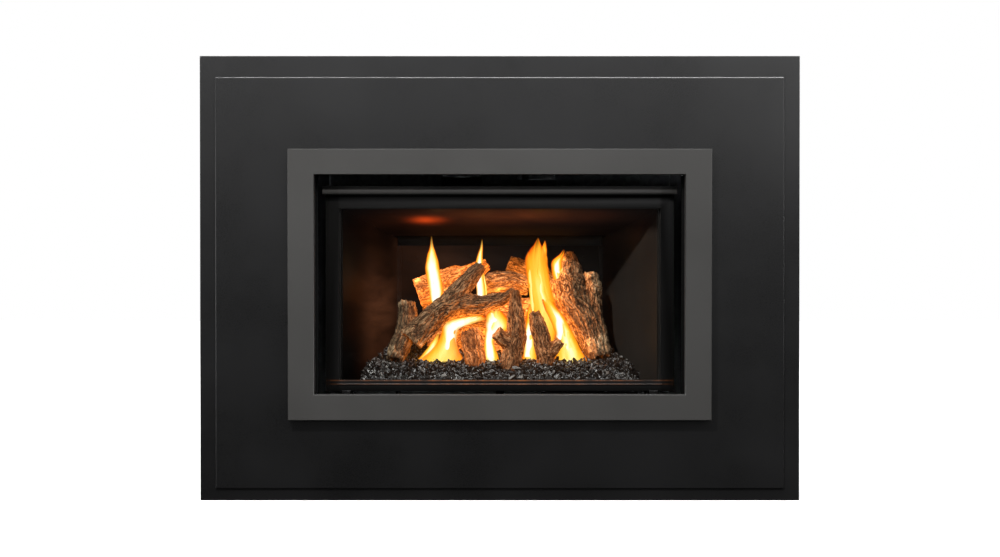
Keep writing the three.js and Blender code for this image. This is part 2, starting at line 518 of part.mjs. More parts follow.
// ---------- convection blower ----------
{
  const Y = 315, Z = 80;
  piece(blower, "blower_housing", cut(join(
    alongX([[275, 30], [355, 30], [355, 124], [353.5, 124], [353.5, 38], [276.5, 38], [276.5, 62], [275, 62]], [], -152, 122),
    box(-152, -150.5, 275, 355, 30, 124), box(120.5, 122, 275, 355, 30, 124),
  ), cylX(4.6, -160, 130, Y, Z, 12)), M.galv);
  const blades = [];
  for (let i = 0; i < 20; i++) {
    const a = (2 * Math.PI * i) / 20, b = a + 0.09, c = a + 0.2;
    blades.push([Y + 30 * Math.cos(a), Z + 30 * Math.sin(a)], [Y + 30 * Math.cos(b), Z + 30 * Math.sin(b)], [Y + 23 * Math.cos(c), Z + 23 * Math.sin(c)]);
  }
  piece(blower, "blower_wheel", join(
    alongX(blades, [], -146, 116), cylX(31, -148, -145, Y, Z, 20), cylX(31, 114, 117, Y, Z, 20), cylX(31, -17, -13, Y, Z, 20),
    cylX(4.1, -156, 140, Y, Z, 12),
  ), M.alu);
  piece(blower, "blower_motor", cut(join(
    cylX(30, 124, 172, Y, Z, 20), box(130, 166, Y - 26, Y + 26, 28.4, 60),
  ), cylX(4.5, 120, 146, Y, Z, 12)), M.darksteel);
}

// ---------- levelling feet ----------
for (const [name, x, y] of [
  ["levelling_foot_front_left", -FOOT_X, FOOT_Y[0]], ["levelling_foot_front_right", FOOT_X, FOOT_Y[0]],
  ["levelling_foot_rear_left", -FOOT_X, FOOT_Y[1]], ["levelling_foot_rear_right", FOOT_X, FOOT_Y[1]],
]) {
  piece(feet, name, join(cylZ(16, 0, 5, x, y, 20), cylZ(4, 4, 52, x, y, 12), alongZ(circle(x, y, 8, 6), [], 12, 18)), M.galv);
}

export default root;
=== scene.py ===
# Looks for the gas fireplace insert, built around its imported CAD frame. Metres, +Z up, front towards -Y.
import json
import math

import bmesh
import bpy
import numpy as np
from mathutils import Matrix, Vector


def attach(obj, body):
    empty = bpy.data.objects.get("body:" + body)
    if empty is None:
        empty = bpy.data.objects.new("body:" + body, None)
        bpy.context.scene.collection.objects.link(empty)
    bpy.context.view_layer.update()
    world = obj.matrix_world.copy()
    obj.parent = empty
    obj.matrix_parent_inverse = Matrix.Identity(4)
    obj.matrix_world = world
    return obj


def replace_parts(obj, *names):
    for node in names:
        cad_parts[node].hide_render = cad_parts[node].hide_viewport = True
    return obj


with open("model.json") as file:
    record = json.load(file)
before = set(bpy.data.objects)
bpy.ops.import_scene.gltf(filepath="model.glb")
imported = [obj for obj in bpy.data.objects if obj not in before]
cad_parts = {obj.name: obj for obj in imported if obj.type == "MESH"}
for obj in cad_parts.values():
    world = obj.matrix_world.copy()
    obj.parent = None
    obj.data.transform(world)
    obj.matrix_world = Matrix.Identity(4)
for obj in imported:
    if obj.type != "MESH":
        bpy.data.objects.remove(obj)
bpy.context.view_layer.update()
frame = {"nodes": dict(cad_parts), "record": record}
N = frame["nodes"]

SHIFT = 0.170            # row y = depth behind the surround's front - SHIFT
UNIT, VIEW_DIST = 1.864, 3000.0
MID_X, MID_Y, MID_Z = 499.5, 278.7, 414.5


def front(px, py, s):
    """A point given in front-view units and depth s in mm, as metres in the row frame."""
    k = UNIT * (1 + s / VIEW_DIST)
    return np.array([(px - MID_X) * k / 1000, s / 1000 - SHIFT, (MID_Z + (MID_Y - py) * k) / 1000])


# ------------------------------------------------------------------ noise
def _grad_noise(p, seed=0):
    rng = np.random.RandomState(1234 + seed)
    g = rng.normal(size=(256, 3))
    g /= np.linalg.norm(g, axis=1)[:, None]
    perm = rng.permutation(256)
    perm = np.concatenate([perm, perm, perm])
    i = np.floor(p).astype(np.int64)
    f = p - i
    w = f * f * f * (f * (f * 6 - 15) + 10)
    i &= 255
    out = 0
    for dx in (0, 1):
        for dy in (0, 1):
            for dz in (0, 1):
                h = perm[perm[perm[(i[:, 0] + dx) & 255] + ((i[:, 1] + dy) & 255)] + ((i[:, 2] + dz) & 255)]
                d = np.stack([f[:, 0] - dx, f[:, 1] - dy, f[:, 2] - dz], 1)
                wx = w[:, 0] if dx else 1 - w[:, 0]
                wy = w[:, 1] if dy else 1 - w[:, 1]
                wz = w[:, 2] if dz else 1 - w[:, 2]
                out = out + (g[h] * d).sum(1) * wx * wy * wz
    return out * 1.6


def fbm(p, octaves=4, seed=0, gain=0.5):
    a, s, out = 1.0, 1.0, 0
    for o in range(octaves):
        out = out + a * _grad_noise(p * s + 17.3 * o, seed + o)
        a *= gain
        s *= 2.03
    return out


def smoothstep(a, b, x):
    t = np.clip((x - a) / (b - a), 0, 1)
    return t * t * (3 - 2 * t)


# ------------------------------------------------------------------ material graphs
class Graph:
    def __init__(self, name):
        self.m = bpy.data.materials.new(name)
        self.m.use_nodes = True
        self.t = self.m.node_tree
        self.t.nodes.clear()
        self.out = self.t.nodes.new("ShaderNodeOutputMaterial")
        self._co = None

    def node(self, kind, ins=None, **props):
        x = self.t.nodes.new("ShaderNode" + kind)
        for k, v in props.items():
            setattr(x, k, v)
        for k, v in (ins or {}).items():
            s = x.inputs[k]
            if isinstance(v, bpy.types.NodeSocket):
                self.t.links.new(v, s)
            else:
                s.default_value = v
        return x

    @property
    def co(self):
        if self._co is None:
            self._co = self.node("TexCoord").outputs["Object"]
        return self._co

    def mapped(self, vec=None, scale=(1, 1, 1), rot=(0, 0, 0)):
        return self.node("Mapping", {"Vector": vec or self.co, "Scale": scale, "Rotation": rot}).outputs[0]

    def noise(self, scale, detail=3, rough=0.5, vec=None, dist=0.0):
        return self.node("TexNoise", {"Vector": vec or self.co, "Scale": scale, "Detail": detail, "Roughness": rough, "Distortion": dist}).outputs["Fac"]

    def voronoi(self, scale, vec=None, out="Distance", feature="F1", rand=1.0):
        return self.node("TexVoronoi", {"Vector": vec or self.co, "Scale": scale, "Randomness": rand}, feature=feature).outputs[out]

    def ramp(self, fac, stops, interp="LINEAR"):
        x = self.node("ValToRGB", {"Fac": fac})
        r = x.color_ramp
        r.interpolation = interp
        while len(r.elements) > 1:
            r.elements.remove(r.elements[-1])
        r.elements[0].position = stops[0][0]
        r.elements[0].color = (*stops[0][1], 1) if len(stops[0][1]) == 3 else stops[0][1]
        for p, c in stops[1:]:
            e = r.elements.new(p)
            e.color = (*c, 1) if len(c) == 3 else c
        return x.outputs["Color"]

    def span(self, fac, a, b, lo, hi):
        return self.node("MapRange", {"Value": fac, "From Min": a, "From Max": b, "To Min": lo, "To Max": hi}, clamp=True).outputs[0]

    def math(self, op, a, b=0.0, c=None):
        x = self.node("Math", operation=op)
        for i, v in enumerate([a, b] + ([c] if c is not None else [])):
            if isinstance(v, bpy.types.NodeSocket):
                self.t.links.new(v, x.inputs[i])
            else:
                x.inputs[i].default_value = v
        return x.outputs[0]

    def mix(self, fac, a, b, mode="MIX"):
        x = self.node("Mix", data_type="RGBA", blend_type=mode)
        for i, v in ((0, fac), (6, a), (7, b)):
            if isinstance(v, bpy.types.NodeSocket):
                self.t.links.new(v, x.inputs[i])
            else:
                x.inputs[i].default_value = v if i == 0 else (*v, 1) if len(v) == 3 else v
        return x.outputs[2]

    def bump(self, height, dist, strength=1.0, normal=None):
        ins = {"Height": height, "Distance": dist, "Strength": strength}
        if normal is not None:
            ins["Normal"] = normal
        return self.node("Bump", ins).outputs[0]

    def attr(self, name, out="Fac"):
        return self.node("Attribute", attribute_name=name).outputs[out]

    def blob(self, centre, radii):
        """1 at a point in the row frame, falling off smoothly to 0."""
        v = self.node("VectorMath", {0: self.co, 1: centre}, operation="SUBTRACT").outputs[0]
        v = self.node("VectorMath", {0: v, 1: tuple(1 / r for r in radii)}, operation="MULTIPLY").outputs[0]
        d = self.node("VectorMath", {0: v, 1: v}, operation="DOT_PRODUCT").outputs["Value"]
        return self.math("EXPONENT", self.math("MULTIPLY", d, -1.0))

    def surface(self, ins):
        b = self.node("BsdfPrincipled", ins)
        self.t.links.new(b.outputs[0], self.out.inputs["Surface"])
        return self.m


def powder(name, dark, light, r0, r1, peel=0.00005, ior=1.5, metallic=0.0):
    g = Graph(name)
    big = g.noise(5.0, 3)
    fine = g.noise(1400.0, 2)
    speck = g.noise(3200.0, 1)
    col = g.mix(g.span(big, 0.35, 0.65, 0.0, 1.0), dark, light)
    col = g.mix(g.span(speck, 0.62, 0.75, 0.0, 0.35), col, tuple(min(1, c * 1.8) for c in light))
    rough = g.math("ADD", g.span(big, 0.3, 0.7, r0, r1), g.span(fine, 0.3, 0.7, -0.03, 0.03))
    return g.surface({"Base Color": col, "Roughness": rough, "Metallic": metallic, "IOR": ior,
                      "Normal": g.bump(fine, peel, 0.6)})


def heat_paint():
    g = Graph("black_heat_paint")
    big, fine, speck = g.noise(5.0, 3), g.noise(1400.0, 2), g.noise(3200.0, 1)
    x, z = (g.node("SeparateXYZ", {"Vector": g.co}).outputs[i] for i in (0, 2))
    x = g.math("ABSOLUTE", x)
    # painted light: above z 0.5722 (the hood) the same paint is made about ten times lighter than on the frame,
    # standing in for the light the hood catches
    high = g.span(z, 0.5722, 0.5735, 0.0, 1.0)
    base = g.mix(g.span(big, 0.35, 0.65, 0.0, 1.0), (0.0014, 0.0014, 0.0014), (0.0022, 0.0021, 0.0020))
    hood_painted_light = g.mix(g.span(big, 0.35, 0.65, 0.0, 1.0), (0.0160, 0.0155, 0.0150), (0.0205, 0.0198, 0.0192))
    col = g.mix(high, base, hood_painted_light)
    col = g.mix(g.span(speck, 0.62, 0.75, 0.0, 0.30), col, (0.014, 0.014, 0.0136))
    rough = g.math("ADD", g.span(big, 0.3, 0.7, 0.40, 0.48), g.span(fine, 0.3, 0.7, -0.03, 0.03))
    # firelight caught by the two beads of the sill
    wob = g.noise(1.0, 3, 0.6, vec=g.mapped(scale=(38.0, 0.0, 0.0)))
    lit = g.math("ADD", g.blob((0.0, -0.150, 0.2228), (0.25, 0.03, 0.0012)), g.math("MULTIPLY", g.blob((0.0, -0.150, 0.2160), (0.24, 0.03, 0.0010)), 0.7))
    lit = g.math("MULTIPLY", lit, g.span(wob, 0.38, 0.62, 0.15, 1.0))
    return g.surface({"Base Color": col, "Roughness": rough, "IOR": 1.27, "Normal": g.bump(fine, 0.00006, 0.6),
                      "Specular IOR Level": g.math("MULTIPLY", g.span(z, 0.203, 0.2045, 0.05, 0.5), g.span(x, 0.300, 0.304, 1.0, 0.50)),
                      "Emission Color": (1.0, 0.30, 0.06, 1), "Emission Strength": g.math("MULTIPLY", lit, 0.30)})


def galvanised():
    g = Graph("galvanised_sheet")
    cell = g.node("TexVoronoi", {"Vector": g.co, "Scale": 130.0}, feature="F1")
    tone = g.node("SeparateColor", {"Color": cell.outputs["Color"]}).outputs[0]
    edge = g.voronoi(130.0, feature="DISTANCE_TO_EDGE")
    smear = g.noise(14.0, 4, 0.6)
    col = g.ramp(tone, [(0.0, (0.27, 0.28, 0.29)), (0.5, (0.33, 0.34, 0.35)), (1.0, (0.40, 0.41, 0.42))])
    col = g.mix(g.span(smear, 0.45, 0.7, 0.0, 0.35), col, (0.25, 0.26, 0.26))
    rough = g.math("ADD", g.span(tone, 0.0, 1.0, 0.46, 0.58), g.span(smear, 0.3, 0.7, -0.03, 0.06))
    h = g.span(edge, 0.0, 0.03, 0.0, 1.0)
    # black on the room side: inside faces of the case forward of the firebox, and the front edges, painted near-black;
    # on the inside faces this is painted shade standing in for the dark of the recess
    x, y, z = (g.node("SeparateXYZ", {"Vector": g.co}).outputs[i] for i in range(3))
    inside = g.math("MULTIPLY", g.math("LESS_THAN", g.math("ABSOLUTE", x), 0.3552), g.math("LESS_THAN", z, 0.6405))
    inside = g.math("MULTIPLY", inside, g.math("LESS_THAN", y, g.math("ADD", -0.02, g.span(smear, 0.3, 0.7, -0.004, 0.004))))
    lid = g.math("MULTIPLY", g.math("GREATER_THAN", z, 0.6395), g.math("LESS_THAN", z, 0.6425))
    ahead = g.math("MULTIPLY", g.math("LESS_THAN", y, -0.1065), g.math("SUBTRACT", 1.0, lid))
    black = g.math("MAXIMUM", inside, ahead)
    black = g.math("MULTIPLY", black, g.math("GREATER_THAN", z, 0.03))
    col = g.mix(black, col, (0.0022, 0.0022, 0.0022))
    rough = g.math("ADD", g.math("MULTIPLY", rough, g.math("SUBTRACT", 1.0, black)), g.math("MULTIPLY", black, 0.62))
    metal_share = g.math("MULTIPLY", g.math("SUBTRACT", 1.0, black), 0.92)
    spec = g.math("SUBTRACT", 0.5, g.math("MULTIPLY", black, 0.44))
    # diagonal stiffening creases of the large panels: pyramids a fraction of a millimetre high
    rear = g.math("MULTIPLY", g.math("GREATER_THAN", y, 0.1995), g.math("LESS_THAN", z, 0.476))
    ux, uz = g.math("MULTIPLY", g.math("ABSOLUTE", x), 1 / 0.345), g.math("MULTIPLY", g.math("ABSOLUTE", g.math("SUBTRACT", z, 0.252)), 1 / 0.215)
    tent = g.math("SUBTRACT", 1.0, g.math("MINIMUM", g.math("MAXIMUM", ux, uz), 1.0))
    flank = g.math("MULTIPLY", g.math("GREATER_THAN", g.math("ABSOLUTE", x), 0.3558), g.math("LESS_THAN", z, 0.60))
    sy, sz = g.math("MULTIPLY", g.math("ABSOLUTE", g.math("SUBTRACT", y, 0.040)), 1 / 0.125), g.math("MULTIPLY", g.math("ABSOLUTE", g.math("SUBTRACT", z, 0.385)), 1 / 0.205)
    tent2 = g.math("SUBTRACT", 1.0, g.math("MINIMUM", g.math("MAXIMUM", sy, sz), 1.0))
    crease = g.math("ADD", g.math("MULTIPLY", tent, rear), g.math("MULTIPLY", tent2, flank))
    n = g.bump(crease, 0.0022, 1.0, g.bump(h, 0.00004, 0.35))
    return g.surface({"Base Color": col, "Metallic": metal_share, "Roughness": rough, "Specular IOR Level": spec, "Normal": n})


def steel_dark():
    g = Graph("dark_sheet_steel")
    a, b = g.noise(9.0, 5, 0.62), g.noise(420.0, 3)
    col = g.ramp(a, [(0.3, (0.0062, 0.0055, 0.0050)), (0.55, (0.0100, 0.0090, 0.0083)), (0.75, (0.018, 0.0158, 0.0142))])
    return g.surface({"Base Color": col, "Metallic": 0.35, "Roughness": g.span(a, 0.3, 0.7, 0.48, 0.66),
                      "Normal": g.bump(b, 0.00008, 0.5)})


def enamel():
    g = Graph("liner_enamel")
    streak = g.noise(3.0, 4, 0.55, vec=g.mapped(scale=(1.0, 1.0, 9.0)))
    soot = g.noise(7.0, 5, 0.6)
    fine = g.noise(260.0, 2)
    drift = g.noise(2.0, 4, 0.6, vec=g.mapped(scale=(5.0, 5.0, 1.1)))
    col = g.ramp(soot, [(0.30, (0.0210, 0.0172, 0.0148)), (0.55, (0.0280, 0.0229, 0.0197)), (0.8, (0.0350, 0.0287, 0.0248))])
    y = g.node("SeparateXYZ", {"Vector": g.co}).outputs[1]
    # painted shade: the back wall, from y 0.05 to 0.08 backwards, takes a much darker colour than the side walls
    back = g.span(g.math("ADD", y, g.span(soot, 0.3, 0.7, -0.012, 0.012)), 0.050, 0.080, 0.0, 1.0)
    dark = g.mix(g.span(drift, 0.42, 0.66, 0.0, 1.0), (0.0032, 0.0026, 0.0022), (0.0085, 0.0063, 0.0050))
    x, z = (g.node("SeparateXYZ", {"Vector": g.co}).outputs[i] for i in (0, 2))
    # painted shade: the left wall and the ceiling are made much darker than the lit right wall
    painted_shade_left_and_ceiling = g.math("MAXIMUM", g.span(x, -0.19, -0.15, 1.0, 0.0), g.span(z, 0.498, 0.515, 0.0, 1.0))
    # painted shade: the walls are darkened towards the front of the firebox
    col = g.mix(g.span(y, -0.125, 0.010, 0.55, 0.0), col, (0.0050, 0.0044, 0.0040))
    col = g.mix(painted_shade_left_and_ceiling, col, (0.0026, 0.0021, 0.0018))
    col = g.mix(back, col, dark)
    rough = g.math("ADD", g.span(streak, 0.3, 0.7, 0.36, 0.46), g.span(fine, 0.3, 0.7, -0.004, 0.006))
    n = g.bump(streak, 0.0004, 0.35)
    shine = g.span(z, 0.498, 0.515, 0.50, 0.20)
    # firelight on the ceiling, the left wall and the back
    flick = g.span(g.noise(1.0, 4, 0.6, vec=g.mapped(scale=(9.0, 9.0, 26.0)), dist=0.5), 0.3, 0.7, 0.45, 1.35)

    def lit(centre, radii, colour, strength):
        v = g.node("VectorMath", {0: colour, "Scale": g.math("MULTIPLY", g.blob(centre, radii), strength)}, operation="SCALE")
        return v.outputs[0]

    def add(p, q):
        return g.node("VectorMath", {0: p, 1: q}, operation="ADD").outputs[0]

    red, amber, brown = (1.0, 0.085, 0.008), (1.0, 0.21, 0.050), (1.0, 0.34, 0.15)
    e = lit((-0.140, -0.052, 0.538), (0.027, 0.022, 0.03), red, 0.72)
    e = add(e, lit((-0.100, -0.060, 0.538), (0.110, 0.060, 0.05), amber, 0.030))
    e = add(e, lit((0.050, -0.080, 0.548), (0.120, 0.042, 0.05), amber, 0.066))
    e = add(e, lit((-0.250, -0.015, 0.345), (0.045, 0.050, 0.105), brown, 0.052))
    e = add(e, lit((-0.222, 0.045, 0.340), (0.035, 0.045, 0.090), brown, 0.040))
    e = add(e, lit((-0.130, 0.085, 0.455), (0.110, 0.03, 0.060), brown, 0.022))
    e = g.node("VectorMath", {0: e, "Scale": flick}, operation="SCALE").outputs[0]
    # painted light: two faint pale glows, on the ceiling and on the back wall, which lift their shade; not from the
    # flames
    e = add(e, lit((0.080, -0.060, 0.530), (0.240, 0.110, 0.040), (1.0, 0.58, 0.50), 0.0058))
    e = add(e, lit((0.060, 0.085, 0.400), (0.240, 0.030, 0.130), (1.0, 0.72, 0.58), 0.0038))
    return g.surface({"Base Color": col, "Roughness": rough, "IOR": 1.22, "Specular IOR Level": shine, "Normal": n, "Emission Color": e, "Emission Strength": 1.0})


def log_material():
    g = Graph("log_ceramic")
    bark, knot, end, dark_patches_and_low_shade, fire = g.attr("bark"), g.attr("knot"), g.attr("cut_end"), g.attr("dark_patches_and_low_shade"), g.attr("firelit")
    along = g.attr("grain", "Vector")
    n1 = g.noise(1.0, 3, 0.55, vec=g.mapped(along, (190.0, 40.0, 190.0)), dist=0.7)
    n2 = g.noise(1.0, 3, 0.60, vec=g.mapped(along, (430.0, 105.0, 430.0)), dist=0.5)
    c1 = g.span(g.math("ABSOLUTE", g.math("SUBTRACT", n1, 0.5)), 0.004, 0.070, 0.14, 1.0)
    c2 = g.span(g.math("ABSOLUTE", g.math("SUBTRACT", n2, 0.5)), 0.0, 0.065, 0.46, 1.0)
    blotch = g.noise(22.0, 5, 0.62)
    pores = g.noise(900.0, 3, 0.6)
    t = g.math("MULTIPLY", g.math("MULTIPLY", c1, c2), g.span(bark, 0.05, 0.65, 0.36, 1.0))
    t = g.math("ADD", t, g.span(pores, 0.35, 0.65, -0.06, 0.06))
    col = g.ramp(t, [(0.0, (0.008, 0.0045, 0.0026)), (0.22, (0.040, 0.0240, 0.0130)), (0.50, (0.122, 0.075, 0.039)),
                     (0.78, (0.205, 0.133, 0.074)), (1.0, (0.305, 0.212, 0.126))])
    col = g.mix(g.span(blotch, 0.40, 0.66, 0.0, 0.55), col, g.mix(t, (0.014, 0.0085, 0.005), (0.120, 0.078, 0.045)))
    pale = g.ramp(t, [(0.0, (0.055, 0.034, 0.018)), (0.35, (0.30, 0.205, 0.115)), (0.85, (0.60, 0.46, 0.29))])
    col = g.mix(knot, col, pale)
    rings = g.attr("rings")
    wood = g.ramp(rings, [(0.0, (0.10, 0.060, 0.032)), (0.5, (0.30, 0.20, 0.115)), (1.0, (0.46, 0.34, 0.215))])
    wood = g.mix(g.span(blotch, 0.4, 0.7, 0.0, 0.5), wood, (0.13, 0.085, 0.050))
    col = g.mix(end, col, wood)
    # painted shade low on the logs near the ember bed, together with dark patches at random
    col = g.mix(dark_patches_and_low_shade, col, (0.016, 0.012, 0.010))
    h = g.math("ADD", g.math("ADD", g.math("MULTIPLY", c1, 1.0), g.math("MULTIPLY", c2, 0.5)), g.math("MULTIPLY", pores, 0.12))
    glow = g.node("VectorMath", {0: col, 1: (1.0, 0.37, 0.075)}, operation="MULTIPLY").outputs[0]
    glow = g.node("VectorMath", {0: glow, 1: g.node("VectorMath", {0: (1.0, 0.155, 0.012), "Scale": g.math("MULTIPLY", fire, 0.026)}, operation="SCALE").outputs[0]}, operation="ADD").outputs[0]
    return g.surface({"Base Color": col, "Roughness": g.span(t, 0.0, 1.0, 0.95, 0.80), "Specular IOR Level": 0.22,
                      "Normal": g.bump(h, 0.0011, 0.9), "Emission Color": glow, "Emission Strength": g.math("MULTIPLY", fire, 5.2)})


def ember_material():
    g = Graph("ember_chips")
    a, b = g.noise(70.0, 3), g.noise(600.0, 3)
    rnd = g.attr("chip")
    col = g.ramp(rnd, [(0.0, (0.003, 0.0029, 0.0029)), (0.5, (0.010, 0.0095, 0.0095)), (0.85, (0.045, 0.043, 0.042)), (1.0, (0.22, 0.212, 0.205))])
    rough = g.math("ADD", g.span(rnd, 0.0, 1.0, 0.12, 0.26), g.span(a, 0.3, 0.7, 0.0, 0.08))
    return g.surface({"Base Color": col, "Roughness": rough, "IOR": 1.5, "Specular IOR Level": 0.60,
                      "Normal": g.bump(b, 0.0004, 0.6), "Emission Color": (1.0, 0.38, 0.10, 1), "Emission Strength": g.math("MULTIPLY", g.attr("firelit"), 0.045)})


def metal(name, c0, c1, r0, r1, stretch=(1, 1, 1), scale=160.0, depth=0.00003):
    g = Graph(name)
    a = g.noise(scale, 4, 0.6, vec=g.mapped(scale=stretch))
    b = g.noise(11.0, 4)
    col = g.mix(g.span(b, 0.35, 0.7, 0.0, 1.0), c0, c1)
    return g.surface({"Base Color": col, "Metallic": 1.0, "Roughness": g.span(a, 0.3, 0.7, r0, r1), "Normal": g.bump(a, depth, 0.5)})


def plastic(name, c0, c1, r0, r1, coat=0.0):
    g = Graph(name)
    a, b = g.noise(1900.0, 2), g.noise(25.0, 3)
    col = g.mix(g.span(b, 0.3, 0.7, 0.0, 1.0), c0, c1)
    return g.surface({"Base Color": col, "Roughness": g.span(a, 0.3, 0.7, r0, r1), "Coat Weight": coat, "Coat Roughness": 0.08,
                      "Normal": g.bump(a, 0.00005, 0.5)})


def rope():
    g = Graph("fibre_gasket")
    w1 = g.node("TexWave", {"Vector": g.mapped(rot=(0, 0.78, 0)), "Scale": 190.0, "Distortion": 1.2, "Detail": 2.0}, wave_type="BANDS", bands_direction="X")
    w2 = g.node("TexWave", {"Vector": g.mapped(rot=(0, -0.78, 0)), "Scale": 190.0, "Distortion": 1.2, "Detail": 2.0}, wave_type="BANDS", bands_direction="X")
    h = g.math("MAXIMUM", w1.outputs["Fac"], w2.outputs["Fac"])
    fuzz = g.noise(1500.0, 3)
    col = g.mix(h, (0.13, 0.12, 0.105), (0.34, 0.32, 0.28))
    return g.surface({"Base Color": col, "Roughness": g.span(fuzz, 0.3, 0.7, 0.88, 1.0), "Sheen Weight": 0.3,
                      "Normal": g.bump(g.math("ADD", h, g.math("MULTIPLY", fuzz, 0.3)), 0.0007, 0.8)})


def glass():
    g = Graph("ceramic_glass")
    haze = g.noise(3.0, 3)
    tr = g.node("BsdfTransparent", {"Color": (0.955, 0.955, 0.945, 1)})
    gl = g.node("BsdfGlossy", {"Color": (0.9, 0.92, 0.95, 1), "Roughness": g.span(haze, 0.3, 0.7, 0.015, 0.05)})
    fr = g.node("Fresnel", {"IOR": 1.25}).outputs[0]
    mx = g.node("MixShader", {"Fac": g.math("MINIMUM", fr, 0.6)})
    g.t.links.new(tr.outputs[0], mx.inputs[1])
    g.t.links.new(gl.outputs[0], mx.inputs[2])
    g.t.links.new(mx.outputs[0], g.out.inputs["Surface"])
    return g.m


def flame_material():
    g = Graph("flame")
    heat, fade = g.attr("burn"), g.attr("fade")
    wisp = g.noise(1.0, 2, 0.5, vec=g.mapped(scale=(60.0, 30.0, 13.0)), dist=0.6)
    h = g.math("ADD", heat, g.span(wisp, 0.3, 0.7, -0.05, 0.05))
    col = g.ramp(h, [(0.0, (0.55, 0.030, 0.002)), (0.12, (0.95, 0.120, 0.004)), (0.28, (1.0, 0.250, 0.008)), (0.46, (1.0, 0.400, 0.020)),
                     (0.64, (1.0, 0.560, 0.062)), (0.80, (1.0, 0.780, 0.230)), (0.92, (1.0, 0.920, 0.600)), (1.0, (1.0, 0.975, 0.860))])
    blue = g.attr("blue")
    col = g.mix(blue, col, (0.20, 0.09, 0.40))
    alpha = g.math("MULTIPLY", fade, g.span(wisp, 0.25, 0.6, 0.90, 1.0))
    return g.surface({"Base Color": (0, 0, 0, 1), "Roughness": 1.0, "Specular IOR Level": 0.0, "Emission Color": col,
                      "Emission Strength": 1.45, "Alpha": alpha})


MAT = {
    "black_satin_paint": powder("black_satin_paint", (0.0020, 0.0020, 0.0021), (0.0030, 0.0030, 0.0032), 0.27, 0.33),
    "grey_satin_paint": powder("grey_satin_paint", (0.027, 0.0265, 0.0255), (0.0315, 0.031, 0.030), 0.44, 0.50, 0.00004, 1.36),
    "black_heat_paint": heat_paint(),
    "galvanised_sheet": galvanised(),
    "dark_sheet_steel": steel_dark(),
    "ceramic_glass": glass(),
    "fibre_gasket": rope(),
    "liner_enamel": enamel(),
    "log_ceramic": log_material(),
    "ember_chips": ember_material(),
    "aluminium_sheet": metal("aluminium_sheet", (0.60, 0.61, 0.62), (0.70, 0.71, 0.72), 0.26, 0.42, (1, 1, 0.06)),
    "black_plastic": plastic("black_plastic", (0.010, 0.010, 0.011), (0.016, 0.016, 0.017), 0.42, 0.58),
    "red_plastic": plastic("red_plastic", (0.36, 0.012, 0.010), (0.44, 0.018, 0.014), 0.22, 0.32, 0.4),
    "zinc_screw": metal("zinc_screw", (0.52, 0.53, 0.52), (0.62, 0.63, 0.61), 0.28, 0.44, (1, 1, 1), 900.0),
    "brass_fitting": metal("brass_fitting", (0.62, 0.42, 0.16), (0.72, 0.50, 0.21), 0.24, 0.40, (1, 0.2, 1)),
}
FLAME = flame_material()
SLOT = {s["node"]: s["material_slot"] for s in frame["record"]["subparts"]}


# ------------------------------------------------------------------ mesh helpers
def link(name, mesh, slot, body="appliance", smooth=True):
    o = bpy.data.objects.new(name, mesh)
    bpy.context.scene.collection.objects.link(o)
    if slot in MAT:
        mesh.materials.clear()
        mesh.materials.append(MAT[slot])
    if smooth:
        mesh.shade_smooth()
    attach(o, body)
    return o


def mesh_from(verts, faces, name="m"):
    me = bpy.data.meshes.new(name)
    me.from_pydata([tuple(v) for v in verts], [], [tuple(f) for f in faces])
    me.validate()
    me.update()
    return me


def coords(me):
    co = np.empty(len(me.vertices) * 3, np.float32)
    me.vertices.foreach_get("co", co)
    return co.reshape(-1, 3).astype(float)


def set_coords(me, co):
    me.vertices.foreach_set("co", co.astype(np.float32).ravel())
    me.update()


def put_attr(me, name, values, kind="FLOAT"):
    a = me.attributes.get(name) or me.attributes.new(name, kind, "POINT")
    a.data.foreach_set("value" if kind == "FLOAT" else "vector", np.asarray(values, np.float32).ravel())


def normals(me):
    n = np.empty(len(me.vertices) * 3, np.float32)
    me.vertices.foreach_get("normal", n)
    return n.reshape(-1, 3).astype(float)


def evaluated(o):
    dg = bpy.context.evaluated_depsgraph_get()
    return bpy.data.meshes.new_from_object(o.evaluated_get(dg))


def remeshed(node, voxel, smooth_steps):
    """A fine, evenly meshed copy of a CAD node, its facets rounded off."""
    me = N[node].data.copy()
    o = bpy.data.objects.new("tmp_" + node, me)
    bpy.context.scene.collection.objects.link(o)
    w = o.modifiers.new("w", "WELD")
    w.merge_threshold = 1e-5
    r = o.modifiers.new("r", "REMESH")
    r.mode, r.voxel_size = "VOXEL", voxel
    s = o.modifiers.new("s", "SMOOTH")
    s.factor, s.iterations = 0.5, smooth_steps
    out = evaluated(o)
    bpy.data.objects.remove(o)
    return out


def lathe(profile, centre, seg=72, axis="Z"):
    """A closed ring turned from (radius, height) in metres."""
    n = len(profile)
    vs, fs = [], []
    for i in range(seg):
        a = 2 * math.pi * i / seg
        for r, h in profile:
            c, s = r * math.cos(a), r * math.sin(a)
            p = (c, s, h) if axis == "Z" else (c, -h, s) if axis == "Y" else (h, c, s)
            vs.append((p[0] + centre[0], p[1] + centre[1], p[2] + centre[2]))
    for i in range(seg):
        j = (i + 1) % seg
        for k in range(n):
            m = (k + 1) % n
            fs.append((i * n + k, j * n + k, j * n + m, i * n + m))
    return vs, fs


